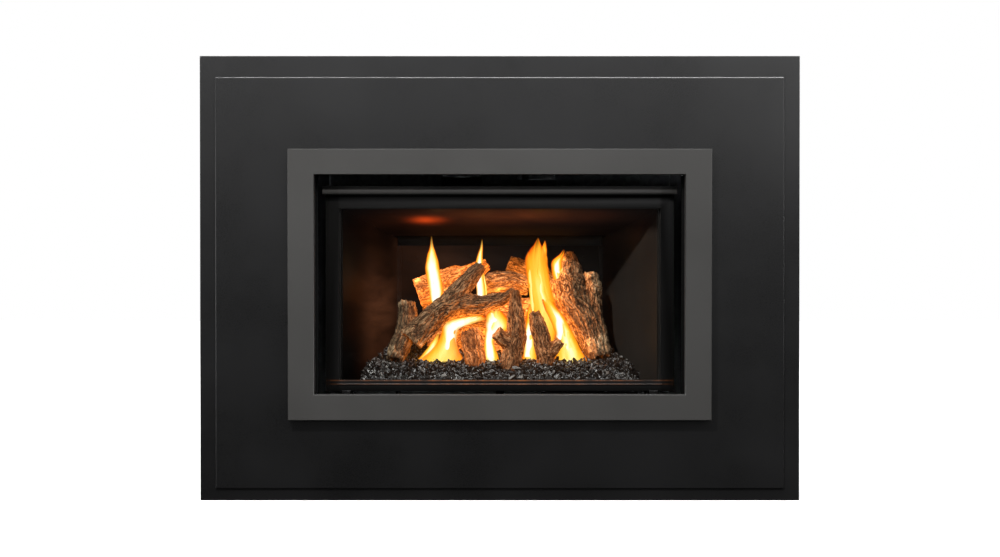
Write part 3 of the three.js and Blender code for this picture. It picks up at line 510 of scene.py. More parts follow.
class Batch:
    """Many small solids gathered in one mesh."""

    def __init__(self):
        self.v, self.f = [], []

    def add(self, vs, fs):
        b = len(self.v)
        self.v += [tuple(v) for v in vs]
        self.f += [tuple(b + i for i in f) for f in fs]

    def box(self, x0, x1, y0, y1, z0, z1):
        vs = [(x, y, z) for x in (x0, x1) for y in (y0, y1) for z in (z0, z1)]
        self.add(vs, [(0, 1, 3, 2), (4, 6, 7, 5), (0, 4, 5, 1), (2, 3, 7, 6), (0, 2, 6, 4), (1, 5, 7, 3)])

    def disc(self, centre, normal, profile, seg=20, spin=0.0):
        """A turned head: profile is (radius, height) from the rim at the face to the axis."""
        n = Vector(normal).normalized()
        u = n.orthogonal().normalized()
        w = n.cross(u)
        c = Vector(centre)
        vs, fs = [], []
        k = len(profile)
        for r, h in profile[:-1]:
            for i in range(seg):
                a = spin + 2 * math.pi * i / seg
                vs.append(c + n * h + (u * math.cos(a) + w * math.sin(a)) * r)
        vs.append(c + n * profile[-1][1])
        for q in range(k - 2):
            for i in range(seg):
                j = (i + 1) % seg
                fs.append((q * seg + i, q * seg + j, (q + 1) * seg + j, (q + 1) * seg + i))
        top = len(vs) - 1
        for i in range(seg):
            fs.append(((k - 2) * seg + i, (k - 2) * seg + (i + 1) % seg, top))
        fs.append(tuple(reversed(range(seg))))
        self.add(vs, fs)

    def make(self, name, slot, body="appliance", smooth=False, angle=0.6):
        me = mesh_from(self.v, self.f, name)
        bm = bmesh.new()
        bm.from_mesh(me)
        bmesh.ops.recalc_face_normals(bm, faces=bm.faces)
        bm.to_mesh(me)
        bm.free()
        o = link(name, me, slot, body, smooth)
        if smooth:
            me.set_sharp_from_angle(angle=angle)
        return o


def polish(node, width, seg=2, angle=35):
    """Rounds a CAD node's folded edges by modifiers only."""
    o = N[node]
    w = o.modifiers.new("weld", "WELD")
    w.merge_threshold = 1e-5
    b = o.modifiers.new("bevel", "BEVEL")
    b.width, b.segments, b.limit_method = width, seg, "ANGLE"
    b.angle_limit = math.radians(angle)
    b.harden_normals = True
    b.use_clamp_overlap = True
    o.data.shade_smooth()
    o.data.set_sharp_from_angle(angle=math.radians(angle))
    return o


def rolled(node, width, seg, on, name, body="appliance"):
    """A copy of a sheet piece with chosen edges rolled to a radius; on picks an edge by its two ends."""
    bm = bmesh.new()
    bm.from_mesh(N[node].data)
    bmesh.ops.remove_doubles(bm, verts=bm.verts, dist=1e-5)
    bmesh.ops.dissolve_limit(bm, angle_limit=math.radians(0.5), verts=bm.verts, edges=bm.edges)
    edges = [e for e in bm.edges if on(e.verts[0].co, e.verts[1].co)]
    bmesh.ops.bevel(bm, geom=edges, offset=width, offset_type="OFFSET", segments=seg, profile=0.5, affect="EDGES", clamp_overlap=True)
    bmesh.ops.triangulate(bm, faces=[f for f in bm.faces if len(f.verts) > 4])
    me = bpy.data.meshes.new(name)
    bm.to_mesh(me)
    bm.free()
    o = link(name, me, SLOT[node], body)
    me.set_sharp_from_angle(angle=math.radians(40))
    f = o.modifiers.new("flat", "WEIGHTED_NORMAL")
    f.mode, f.weight, f.keep_sharp = "FACE_AREA", 50, True
    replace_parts(o, node)
    return o


for name, o in N.items():
    o.data.materials.clear()
    o.data.materials.append(MAT[SLOT[name]])

# ------------------------------------------------------------------ flame outlines
# Each is a thin lens of glowing gas: depth s, rows of (left, right, height) in front-view units from the tip
# down, heat at the rim, heat gained towards the middle, softness of the rim, tip fade length, blueness of the root.
FLAMES = {
    "flame_rear_left": (140, [(430.9, 431.6, 236.5), (429.4, 433.2, 247), (426.4, 436.6, 257), (424.8, 439.4, 268), (426.0, 441.4, 280), (428.0, 442.8, 291), (429.8, 442.2, 302), (431.5, 440.0, 309)], 0.16, 0.8, 0.40, 0.30, 0.0),
    "flame_rear_left_core": (137, [(430.2, 432.0, 248), (427.9, 434.9, 256), (425.9, 436.9, 264), (426.2, 438.4, 273), (427.3, 440.5, 283), (428.7, 441.9, 292), (430.1, 441.1, 300), (431.7, 439.1, 305)], 0.74, 0.34, 1.0, 0.25, 0.0),
    "flame_rear_centre": (152, [(481.3, 481.9, 240), (479.2, 482.6, 249), (476.6, 482.5, 258), (474.7, 482.6, 268), (475.0, 483.6, 279), (475.8, 485.0, 290), (476.4, 485.6, 299), (478, 484.5, 304)], 0.18, 0.74, 0.40, 0.34, 0.0),
    "flame_rear_centre_core": (149, [(479.6, 481.4, 252), (477.2, 481.6, 261), (475.8, 481.6, 271), (475.6, 482.2, 281), (476.1, 483.5, 291), (476.8, 483.4, 298)], 0.74, 0.34, 1.0, 0.3, 0.0),
    "flame_rear_centre_strand": (150, [(482.4, 483.2, 272), (483.2, 485.0, 280), (484.2, 486.6, 288), (484.8, 487.0, 296)], 0.3, 0.5, 0.6, 0.3, 0.0),
    "flame_tall": (122, [(537.6, 538.2, 238.5), (533.4, 540.6, 245), (527.8, 544.6, 252), (524.8, 547.0, 261), (525.6, 548.8, 275), (527.2, 550.8, 286), (528.8, 553.2, 297), (530.0, 556.0, 308), (531.2, 558.0, 318), (533.0, 557.0, 328), (534.5, 555.0, 338), (536.0, 553.0, 348)], 0.20, 0.44, 0.34, 0.30, 0.0),
    "flame_tall_left_strand": (119, [(526.8, 528.6, 252), (526.6, 531.6, 264), (527.4, 533.4, 278), (528.6, 534.4, 292), (529.6, 535.0, 306), (530.0, 535.4, 318)], 0.34, 0.4, 0.85, 0.3, 0.0),
    "flame_tall_mid_strand": (118, [(538.4, 539.6, 252), (536.6, 541.4, 266), (536.0, 543.6, 280), (536.8, 547.0, 294), (539.6, 551.0, 306), (543.6, 554.6, 316)], 0.34, 0.42, 0.85, 0.35, 0.0),
    "flame_tall_tip": (126, [(544.4, 545.2, 241), (541.6, 546.6, 248), (538.2, 547.2, 257), (536.0, 548.2, 268), (535.0, 549.0, 280)], 0.16, 0.4, 0.7, 0.30, 0.0),
    "flame_right_low": (106, [(541.0, 552.0, 300), (543.6, 557.5, 309), (547.5, 563.6, 317), (551.5, 568.6, 325), (554.5, 573.2, 334), (555.5, 577.6, 343), (554.8, 582.0, 352), (553.8, 587.0, 360), (553.4, 589.6, 365.2)], 0.16, 0.66, 0.34, 0.10, 0.7),
    "flame_right_low_core": (103, [(548.5, 551.7, 305), (550.6, 559.0, 313), (553.5, 563.1, 320), (555.3, 564.9, 328), (555.7, 564.7, 336), (556.4, 562.2, 342)], 0.74, 0.34, 1.0, 0.25, 0.0),
    "flame_right_low_tongue": (102, [(561.0, 564.4, 322), (561.8, 570.0, 332), (562.8, 574.4, 342), (563.4, 578.6, 352), (564.6, 582.0, 361)], 0.42, 0.44, 0.80, 0.25, 0.4),
    "flame_centre_right": (112, [(528.4, 531.0, 306), (526.4, 532.4, 314), (525.2, 534.0, 324), (523.8, 535.6, 334), (522.6, 537.0, 344), (521.4, 538.0, 354), (520.6, 538.4, 365.2)], 0.1, 0.58, 0.40, 0.25, 0.4),
    "flame_centre_right_core": (109, [(526.4, 528.6, 322), (525.4, 531.2, 331), (524.6, 532.8, 340), (523.7, 532.9, 349), (523.3, 530.7, 358)], 0.74, 0.34, 1.0, 0.25, 0.0),
    "flame_right_lick": (140, [(563.6, 564.4, 250), (558.8, 563.8, 255.5), (552.4, 562.4, 261), (550.6, 561.8, 267), (551.8, 562.8, 275), (554.6, 564.6, 283), (558.8, 567.2, 290), (564.4, 568.4, 295.8)], 0.14, 0.52, 0.42, 0.22, 0.0),
    "flame_right_lick_core": (137, [(557.5, 560.5, 259), (553.8, 560.0, 264), (553.4, 560.0, 271), (555.6, 562.0, 279), (558.9, 564.3, 286)], 0.74, 0.34, 1.0, 0.3, 0.0),
    "flame_left_arch": (104, [(474.0, 486.0, 316.0), (456.0, 484.4, 318.6), (446.6, 478.0, 322), (442.6, 461.0, 327), (440.4, 456.0, 335), (436.6, 456.6, 343), (429.6, 459.2, 351), (419.6, 463.4, 359), (410.8, 466.4, 365.2)], 0.12, 0.6, 0.30, 0.08, 0.9),
    "flame_left_arch_core": (101, [(463.9, 485.7, 317.4), (449.4, 486.6, 320.2), (442.2, 475.2, 324), (442.6, 460.8, 329), (443.1, 456.9, 337), (442.4, 457.0, 346), (441.4, 459.8, 355), (441.8, 462.6, 362)], 0.74, 0.34, 1.0, 0.10, 0.5),
    "flame_left_tongue": (106, [(437.4, 439.6, 333), (432.4, 438.4, 341), (426.5, 436.6, 349), (419.5, 434.6, 357), (412.6, 433.4, 364.8)], 0.3, 0.5, 0.70, 0.35, 0.9),
    "flame_centre": (98, [(489.6, 500.0, 310.8), (485.8, 504.8, 315.2), (485.4, 508.2, 321), (485.0, 510.0, 328), (484.6, 502.6, 334), (484.0, 493.5, 341), (483.2, 495.5, 350), (482.6, 498.5, 358), (482.2, 499.2, 365.2)], 0.18, 0.72, 0.32, 0.08, 0.6),
    "flame_centre_core": (95, [(488.1, 497.3, 313.4), (485.1, 502.7, 318.4), (484.9, 502.1, 324.4), (485.4, 495.8, 331), (485.1, 492.1, 340), (485.0, 493.6, 350), (485.6, 496.0, 359)], 0.74, 0.34, 1.0, 0.12, 0.0),
}

# ------------------------------------------------------------------ logs
LOGS = {
    "log_front_left": [
        [[411, 341, 84, 13], [424, 327, 88, 13.5], [441, 311, 96, 12.5], [457, 303.5, 104, 11], [474, 305, 106, 9.8], [488, 304, 104, 8.6], [500, 300.5, 101, 7], [509, 295.5, 99, 5.6], [514.5, 291, 98, 4.2]],
        [[446, 307, 100, 11], [458, 293, 108, 10.5], [470, 279, 116, 9], [481, 266, 124, 6]],
    ],
    "log_centre_front": [
        [[508.5, 372, 70, 10.5], [511.5, 358, 71, 11], [515.5, 338, 73, 10.5], [516, 318, 76, 9], [515, 303, 79, 7], [514.5, 291.5, 81, 4.6]],
        [[513, 348, 71, 8], [504, 340, 66, 7.4], [495.5, 333, 62, 7]],
    ],
    "log_small_left": [[[475, 367, 76, 10.5], [474, 352, 79, 11.2], [471.5, 339, 84, 11.4], [469.5, 331, 88, 9.4]]],
    "log_centre_right": [
        [[546, 367, 72, 8.4], [544, 350, 75, 9.2], [539, 330, 80, 9.2], [534, 313, 86, 6]],
        [[547, 358, 73, 6.5], [554, 348, 70, 6], [560, 341, 68, 5.4]],
    ],
    "log_left_base": [
        [[394, 361, 80, 9], [399, 348, 92, 11], [405, 334, 108, 11], [407, 318, 118, 10], [406, 303, 124, 9]],
    ],
    "log_right": [
        [[569, 254, 172, 5], [569.5, 266, 166, 11], [568.5, 284, 157, 18.5], [572, 302, 148, 18], [583, 320, 138, 16], [592, 342, 126, 13.5], [599, 360, 112, 10.5]],
        [[588, 275, 168, 9], [590.5, 290, 162, 12], [589.5, 308, 152, 12.5], [597, 332, 136, 10.5], [604.5, 355, 118, 7]],
    ],
    "log_rear_base": [[[428, 348, 196, 17], [470, 345, 194, 20], [520, 345, 194, 20], [575, 348, 190, 17]]],
    "log_rear_upper": [[[424, 316, 190, 13], [465, 315, 192, 16], [520, 314, 192, 16], [572, 316, 190, 13]]],
    "log_rear_left": [[[417, 294, 168, 15], [436, 288, 170, 16], [458, 281, 176, 14], [474, 273, 182, 10.5], [486, 265, 188, 7]]],
    "log_rear_centre": [[[480, 288, 184, 9], [494, 284, 184, 11.5], [510, 283, 184, 11.5], [528, 288, 184, 9]]],
    "log_rear_right": [[[508, 264, 214, 8], [522, 270, 212, 9.5], [540, 276, 210, 10], [556, 284, 208, 9]]],
}
# ends whose sawn face shows: log -> (limb, end)
CUT_ENDS = {"log_front_left": [(0, 0)], "log_centre_front": [(1, 1)], "log_centre_right": [(1, 1)], "log_right": [],
            "log_rear_left": [(0, 0)], "log_rear_right": [(0, 0)]}
# pale bare patches: log -> [(px, py, s, radius in mm)]
PALE = {
    "log_left_base": [(399, 301, 112, 14), (392, 352, 80, 13), (400, 359, 78, 9)],
    "log_front_left": [(400, 334, 74, 13), (417, 346, 66, 15), (405, 352, 74, 10)],
    "log_right": [(594, 345, 108, 17), (602, 342, 112, 15), (598, 287, 150, 17), (588, 275, 152, 12), (604, 352, 112, 12), (566, 262, 160, 8)],
    "log_centre_front": [(496, 333, 56, 9), (505, 344, 62, 5)],
    "log_small_left": [(473, 352, 68, 6)],
    "log_centre_right": [(560, 341, 62, 6)],
    "log_rear_left": [(416, 283, 158, 12), (430, 272, 160, 10)],
}
TRIM_STEPS = {"log_front_left": 6, "log_right": 6}


def flame_points():
    """Where the flames stand and how much light each stretch gives."""
    pts, power = [], []
    for name, (s, rows, *_rest) in FLAMES.items():
        if "core" in name or "strand" in name or "tongue" in name:
            continue
        for left, right, h in rows:
            pts.append(front((left + right) / 2, h, s))
            power.append(min(1.6, (right - left) / 11.0))
    for px, py, s, w in [(499, 292, 160, 1.8), (512, 302, 158, 2.0), (523, 300, 160, 2.0), (446, 300, 146, 1.6), (420, 300, 146, 1.2), (460, 322, 150, 1.5),
                         (482, 300, 160, 1.5), (552, 300, 140, 1.2), (470, 352, 108, 1.2), (512, 345, 104, 1.4), (545, 345, 104, 1.4), (497, 352, 104, 1.0)]:
        pts.append(front(px, py, s))
        power.append(w)
    return np.array(pts), np.array(power)


FIRE_AT, FIRE_POWER = flame_points()


def firelight(co, nrm):
    out = np.zeros(len(co))
    for p, w in zip(FIRE_AT, FIRE_POWER):
        v = p - co
        d2 = (v * v).sum(1)
        out += w * np.clip(((v * nrm).sum(1) / np.sqrt(d2 + 1e-9) + 0.45) / 1.45, 0, 1) / (d2 + 0.00060)
    return np.clip(out * 0.00017, 0, 1.6)


# how much glow each log catches from the embers and its neighbours
EMBER_GLOW = {"log_small_left": 0.52, "log_centre_front": 0.16, "log_centre_right": 0.14, "log_front_left": 0.04,
              "log_rear_left": 1.05, "log_rear_base": 0.50, "log_rear_upper": 0.40}


def build_log(name, limbs, seed):
    me = remeshed(name, 0.0015, TRIM_STEPS.get(name, 6))
    co = coords(me)
    # nearest limb: arc length, angle and share of the radius
    best = np.full(len(co), 1e9)
    arc, ang, rad, lim, along, tang = (np.zeros(len(co)) for _ in range(6))
    ends = []
    for li, st in enumerate(limbs):
        pts = np.array([front(a, b, s) for a, b, s, _ in st])
        rs = np.array([r * UNIT * (1 + s / VIEW_DIST) / 1000 for _, _, s, r in st])
        t = np.linspace(0, len(st) - 1, 90)
        k = np.minimum(t.astype(int), len(st) - 2)
        f = (t - k)[:, None]
        line = pts[k] * (1 - f) + pts[k + 1] * f
        rr = rs[k] * (1 - f[:, 0]) + rs[k + 1] * f[:, 0]
        tg = np.gradient(line, axis=0)
        step = np.linalg.norm(tg, axis=1)
        tg /= step[:, None]
        length = np.concatenate([[0], np.cumsum(np.linalg.norm(np.diff(line, axis=0), axis=1))])
        up = np.array([0.13, 0.2, 0.9])
        a = np.cross(up, tg)
        a /= np.linalg.norm(a, axis=1)[:, None]
        b = np.cross(tg, a)
        for c0 in range(0, len(co), 20000):
            c = co[c0:c0 + 20000]
            d = np.linalg.norm(c[:, None, :] - line[None], axis=2) - rr[None] * 0.8
            j = d.argmin(1)
            dm = d[np.arange(len(c)), j]
            win = dm < best[c0:c0 + 20000]
            idx = np.nonzero(win)[0]
            jj = j[idx]
            v = c[idx] - line[jj]
            g = c0 + idx
            best[g] = dm[idx]
            arc[g] = length[jj] + (v * tg[jj]).sum(1)
            ang[g] = np.arctan2((v * b[jj]).sum(1), (v * a[jj]).sum(1))
            rad[g] = np.hypot((v * b[jj]).sum(1), (v * a[jj]).sum(1))
            lim[g] = li
        ends.append(((line[0], -tg[0], rr[0]), (line[-1], tg[-1], rr[-1])))
    nrm = normals(me)
    r0 = 0.018
    # bark: long ridges that wander along the limb, broken into plates
    ca, sa = np.cos(ang) * r0, np.sin(ang) * r0
    warp = fbm(co * 45, 3, seed)[:, None] * np.array([0.0045, 0.0045, 0.010])
    q = np.stack([ca, sa, arc], 1) + warp + lim[:, None] * 0.37
    ridge = 1 - np.abs(fbm(q * np.array([210, 210, 26]), 3, seed + 3)) * 1.9
    fine = 1 - np.abs(_grad_noise(q * np.array([520, 520, 60]), seed + 9)) * 2.0
    plates = fbm(q * np.array([90, 90, 30]), 3, seed + 13)
    lumps = fbm(co * 42, 3, seed + 21)
    crack = smoothstep(0.0, 0.10, np.abs(fbm(q * np.array([70, 70, 16]) + 5.0, 2, seed + 27)))
    bark = np.clip(0.50 * np.clip(ridge, 0, 1) + 0.22 * np.clip(fine, 0, 1) + 0.25 * (plates + 0.5), 0, 1) * (0.35 + 0.65 * crack)
    knot = np.zeros(len(co))
    for px, py, s, r in PALE.get(name, []):
        d = np.linalg.norm((co - front(px, py, s)) * np.array([1, 0.7, 1]), axis=1)
        edge = fbm(co * 130, 2, seed + 31) * 0.35
        knot = np.maximum(knot, smoothstep(1.15, 0.55, d / (r / 1000) + edge))
    cut_end = np.zeros(len(co))
    rings = np.zeros(len(co))
    for li, e in CUT_ENDS.get(name, []):
        c, axis, r = ends[li][e]
        v = co - c
        h = v @ axis
        q2 = v - h[:, None] * axis
        d = np.linalg.norm(q2, axis=1)
        on = smoothstep(0.35, 0.75, nrm @ axis) * smoothstep(-0.006, -0.002, h) * (d < r * 1.25)
        cut_end = np.maximum(cut_end, on)
        wob = fbm(co * 60, 2, seed + 41) * 0.0016
        rr = 0.5 + 0.5 * np.sin((d + wob) / 0.0017 * math.pi)
        rings = np.where(on > 0.02, rr * 0.7 + 0.3 * fbm(q2 * 300, 2, seed + 43), rings)
    h = 0.0030 * (bark - 0.55) + 0.0023 * lumps
    h = h * (1 - cut_end * 0.92) * (1 - 0.45 * knot) + knot * (0.0012 + 0.0012 * fbm(co * 170, 2, seed + 51))
    h = h + cut_end * (-0.0006 + 0.0004 * rings)
    co2 = co + nrm * h[:, None]
    for pair in ends:
        for c, axis, r in pair:
            v = co - c
            hgt = v @ axis
            off = v - hgt[:, None] * axis
            near = smoothstep(-0.013, -0.001, hgt) * smoothstep(1.5 * r, 1.15 * r, np.linalg.norm(off, axis=1))
            co2 += axis * (near * (fbm(off * 150 + 3.1, 3, seed + 61) * 0.0042 - 0.0008) * (1 - 0.6 * cut_end))[:, None]
    co2[:, 2] = np.maximum(co2[:, 2], 0.2372 if name not in ("log_left_base",) else 0.2372)
    set_coords(me, co2)
    put_attr(me, "firelit", firelight(co2, normals(me)) + EMBER_GLOW.get(name, 0.0))
    put_attr(me, "bark", bark)
    put_attr(me, "knot", knot * 0.9)
    put_attr(me, "cut_end", cut_end)
    put_attr(me, "rings", np.clip(rings, 0, 1))
    # painted shade: the bark darkens below z 0.275 near the ember bed and the whole of log_left_base is darkened too;
    # plus dark patches at random from the plates
    low = smoothstep(0.275, 0.246, co[:, 2]) * 0.45 + (0.30 if name == "log_left_base" else 0.0)
    put_attr(me, "dark_patches_and_low_shade", np.clip(low + 0.25 * smoothstep(0.1, 0.5, -plates), 0, 0.75))
    put_attr(me, "grain", np.stack([ca, arc, sa], 1), "FLOAT_VECTOR")
    o = link(name + "_bark", me, "log_ceramic")
    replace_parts(o, name)
    return o


for i, (name, limbs) in enumerate(LOGS.items()):
    build_log(name, limbs, 100 * i)

# ------------------------------------------------------------------ ember chips
def ember_chips():
    src = N["ember_bed"].data
    src.calc_loop_triangles()
    co = coords(src)
    tri = np.array([t.vertices for t in src.loop_triangles])
    a, b, c = co[tri[:, 0]], co[tri[:, 1]], co[tri[:, 2]]
    n = np.cross(b - a, c - a)
    area = np.linalg.norm(n, axis=1) / 2
    n /= np.maximum(np.linalg.norm(n, axis=1), 1e-12)[:, None]
    ok = (n[:, 2] > 0.12) & (np.minimum(np.minimum(a[:, 2], b[:, 2]), c[:, 2]) > 0.222)
    front_face = (n[:, 1] < -0.2) & (n[:, 2] > -0.2) & (a[:, 1] < -0.105)
    ok |= front_face
    rng = np.random.RandomState(7)
    w = area * ok
    count = 7400
    pick = rng.choice(len(tri), count, p=w / w.sum())
    u, v = rng.rand(count), rng.rand(count)
    flip = u + v > 1
    u[flip], v[flip] = 1 - u[flip], 1 - v[flip]
    p = a[pick] + (b[pick] - a[pick]) * u[:, None] + (c[pick] - a[pick]) * v[:, None]
    nn = n[pick]
    base = np.array([[x, y, z] for x in (-1, 1) for y in (-1, 1) for z in (-1, 1)], float)
    faces0 = [(0, 1, 3, 2), (4, 6, 7, 5), (0, 4, 5, 1), (2, 3, 7, 6), (0, 2, 6, 4), (1, 5, 7, 3)]
    verts, faces, shade = [], [], []
    lo, hi = coords(src).min(0), coords(src).max(0)
    for i in range(count):
        size = np.array([rng.uniform(2.8, 6.4), rng.uniform(1.1, 2.2), rng.uniform(0.9, 1.8)]) / 1000
        if rng.rand() < 0.16:
            size *= 1.45
        q = rng.normal(size=4)
        q /= np.linalg.norm(q)
        w0, x, y, z = q
        R = np.array([[1 - 2 * (y * y + z * z), 2 * (x * y - z * w0), 2 * (x * z + y * w0)],
                      [2 * (x * y + z * w0), 1 - 2 * (x * x + z * z), 2 * (y * z - x * w0)],
                      [2 * (x * z - y * w0), 2 * (y * z + x * w0), 1 - 2 * (x * x + y * y)]])
        loc = base * size * (1 + rng.uniform(-0.42, 0.42, (8, 3)))
        loc[:4] *= rng.uniform(0.35, 0.9)
        pos = p[i] + nn[i] * rng.uniform(-0.0008, 0.0022)
        pts = loc @ R.T + pos
        if pts[:, 1].min() < -0.1298 or abs(pos[0]) > 0.262 or pts[:, 1].max() > 0.0565:
            continue
        k = len(verts)
        verts += pts.tolist()
        faces += [tuple(k + j for j in f) for f in faces0]
        shade += [rng.rand() ** 1.3] * 8
    me = mesh_from(verts, faces, "ember_chips")
    put_attr(me, "chip", shade)
    put_attr(me, "firelit", firelight(coords(me), normals(me)))
    bm = bmesh.new()
    bm.from_mesh(me)
    bmesh.ops.recalc_face_normals(bm, faces=bm.faces)
    bm.to_mesh(me)
    bm.free()
    return link("ember_chip_layer", me, "ember_chips", smooth=False)


ember_chips()
bed = remeshed("ember_bed", 0.003, 2)
co = coords(bed)
nb = normals(bed)
co += nb * (fbm(co * 120, 3, 77) * 0.0014 - 0.0006)[:, None]
set_coords(bed, co)
put_attr(bed, "chip", np.clip(0.25 + 0.3 * fbm(co * 300, 2, 79), 0, 1))
put_attr(bed, "firelit", firelight(co, nb))
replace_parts(link("ember_base_layer", bed, "ember_chips"), "ember_bed")

# ------------------------------------------------------------------ flames
def build_flame(name, s, rows, rim, gain, soft, tip, root, seed):
    rows = np.array(rows, float)
    n = len(rows)
    R, C = 64, 25
    t = np.linspace(0, n - 1, R)
    k = np.minimum(t.astype(int), n - 2)
    f = (t - k)[:, None]
    p0, p1, p2, p3 = rows[np.maximum(k - 1, 0)], rows[k], rows[k + 1], rows[np.minimum(k + 2, n - 1)]
    sm = 0.5 * (2 * p1 + (p2 - p0) * f + (2 * p0 - 5 * p1 + 4 * p2 - p3) * f ** 2 + (3 * p1 - p0 - 3 * p2 + p3) * f ** 3)
    L, Rr, H = sm.T
    mid, half = (L + Rr) / 2, np.maximum((Rr - L) / 2, 0.12)
    v = np.linspace(0, 1, R)
    zero = np.zeros(R)
    mid = mid + 0.55 * fbm(np.stack([v * 6, zero + seed * 0.37, zero], 1), 2, seed) * np.minimum(1, half / 5)
    U, Vv = np.meshgrid(np.linspace(-1, 1, C), v)
    u, vv = U.ravel(), Vv.ravel()
    hh, mm, HH = np.repeat(half, C), np.repeat(mid, C), np.repeat(H, C)
    edge = 1 - u * u
    ripple = fbm(np.stack([vv * 3.2, u * 0.8, np.full(len(u), seed * 1.3)], 1), 2, seed + 5) * 3.0
    streak = fbm(np.stack([vv * 2.2, u * np.maximum(hh, 3) * 0.34 + 3, np.full(len(u), seed * 2.1)], 1), 2, seed + 9)
    verts = []
    for face in (1, -1):
        ss = s - face * hh * 0.30 * UNIT * np.maximum(edge, 0) ** 0.6 + ripple
        kk = UNIT * (1 + ss / VIEW_DIST)
        verts.append(np.stack([(mm + hh * u - MID_X) * kk / 1000, ss / 1000 - SHIFT, (MID_Z + (MID_Y - HH) * kk) / 1000], 1))
    fade = smoothstep(0.0, soft, edge + 0.10 * streak * edge) * smoothstep(-0.01, tip, vv + 0.10 * streak)
    fade = fade * (1 - 0.55 * smoothstep(0.95, 1.0, vv))
    heat = rim + gain * np.clip(edge, 0, 1) ** 1.3 + 0.085 * streak
    heat = heat - 0.26 * smoothstep(0.45, 0.0, vv) + 0.04
    blue = root * smoothstep(0.93, 1.0, vv) * (0.35 + 0.65 * np.abs(u))
    faces = []
    for q in (0, 1):
        o = q * R * C
        for i in range(R - 1):
            for j in range(C - 1):
                c = (o + i * C + j, o + i * C + j + 1, o + (i + 1) * C + j + 1, o + (i + 1) * C + j)
                faces.append(c if q == 0 else tuple(reversed(c)))
    me = mesh_from(np.concatenate(verts), faces, name)
    put_attr(me, "burn", np.tile(heat, 2))
    put_attr(me, "fade", np.tile(np.clip(fade, 0, 1), 2))
    put_attr(me, "blue", np.tile(np.clip(blue, 0, 1), 2))
    me.materials.append(FLAME)
    o = bpy.data.objects.new(name, me)
    bpy.context.scene.collection.objects.link(o)
    me.shade_smooth()
    o.visible_shadow = False
    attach(o, "appliance")
    return o


for i, (name, spec) in enumerate(FLAMES.items()):
    build_flame(name, *spec, i + 1)

# ------------------------------------------------------------------ folded edges of the sheet pieces
for node, width, seg in [
    ("window_frame", 0.0006, 2), ("deflector_hood", 0.0004, 2), ("case_base", 0.0004, 2), ("case_left_side", 0.0004, 2), ("case_right_side", 0.0004, 2),
    ("case_rear_panel", 0.0004, 2), ("case_top", 0.0004, 2), ("surround_bracket_left", 0.0004, 2), ("surround_bracket_right", 0.0004, 2),
    ("trim_bracket_left", 0.0004, 2), ("trim_bracket_right", 0.0004, 2), ("latch_left", 0.0005, 2), ("latch_right", 0.0005, 2),
    ("relief_flap_left", 0.0004, 2), ("relief_flap_right", 0.0004, 2), ("gas_valve", 0.0012, 3), ("receiver_box", 0.0015, 3),
    ("control_bracket", 0.0004, 2), ("blower_housing", 0.0004, 2), ("blower_motor", 0.0008, 2), ("power_switch", 0.0006, 3),
    ("gas_knob", 0.0005, 2), ("flame_knob", 0.0005, 2), ("igniter_button", 0.0008, 3), 
    ("liner_left", 0.0005, 2), ("liner_right", 0.0005, 2), ("liner_back", 0.0005, 2), ("ceiling_baffle", 0.0005, 2),
    ("flue_box", 0.0004, 2), ("intake_duct", 0.0004, 2), ("gas_inlet_pipe", 0.0006, 2),
]:
    polish(node, width, seg)
N["glass_pane"].data.shade_flat()


def rim(y, half, z0, z1, corners=False):
    """Both ends on the front plane y, along the outer rectangle, and its corners front to back."""
    def test(a, b):
        at_corner = max(abs(abs(v[0]) - half) for v in (a, b)) < 1e-4 and max(min(abs(v[2] - z0), abs(v[2] - z1)) for v in (a, b)) < 1e-4
        if corners and at_corner and abs(a[0] - b[0]) < 1e-4 and abs(a[2] - b[2]) < 1e-4:
            return True
        if abs(a[1] - y) > 2e-5 or abs(b[1] - y) > 2e-5:
            return False
        same_x = abs(abs(a[0]) - half) < 1e-4 and abs(a[0] - b[0]) < 1e-4
        same_z = min(abs(a[2] - z0), abs(a[2] - z1)) < 1e-4 and abs(a[2] - b[2]) < 1e-4
        return same_x or same_z
    return test


rolled("surround_panel", 0.0028, 6, rim(-0.176, 0.530, 0.022, 0.7895, True), "surround_panel_skin")
rolled("backing_plate", 0.0012, 4, rim(-0.170, 0.559, 0.0, 0.829), "backing_plate_skin")
inner, outer = rim(-0.202, 0.343, 0.1999, 0.6069), rim(-0.202, 0.3915, 0.1529, 0.6539)
rolled("trim_frame", 0.0011, 4, lambda a, b: inner(a, b) or outer(a, b), "trim_frame_skin", "trim")

# ------------------------------------------------------------------ fasteners and small fittings
def hex_screw(batch, c, n, r=0.0031):
    batch.disc(c, n, [(0.0047, 0.0), (0.0047, 0.0008), (r, 0.0009), (0.0, 0.0009)], 20)
    batch.disc(c, n, [(r, 0.0007), (r, 0.0029), (r * 0.8, 0.0034), (0.0, 0.0034)], 6, 0.3)


def pan_screw(batch, c, n, r=0.0034):
    batch.disc(c, n, [(r, 0.0), (r * 0.98, 0.0007), (r * 0.8, 0.0014), (r * 0.45, 0.0019), (0.0, 0.0020)], 18)


def rivet(batch, c, n, r=0.0024):
    batch.disc(c, n, [(r, 0.0), (r * 0.92, 0.0006), (r * 0.6, 0.0011), (0.0, 0.0013)], 16)


screws = Batch()
for side in (-1, 1):
    x = side * 0.3560
    for z in (0.036, 0.626):
        for y in (-0.150, -0.070, 0.020, 0.110, 0.150 if z > 0.5 else 0.190):
            hex_screw(screws, (x, y, z), (side, 0, 0))
    for z in (0.100, 0.200, 0.300, 0.400, 0.500):
        hex_screw(screws, (x, 0.193 if z < 0.45 else 0.186 if z < 0.55 else 0.180, z), (side, 0, 0))
for x in (-0.330, -0.220, -0.110, 0.0, 0.110, 0.220, 0.330):
    hex_screw(screws, (x, -0.150, 0.6400), (0, 0, 1))
for x in (-0.345, 0.345):
    for y in (-0.090, 0.0, 0.090, 0.160):
        hex_screw(screws, (x, y, 0.6400), (0, 0, 1))
screws.make("case_screws", "brass_fitting").data.materials[0] = MAT["zinc_screw"]

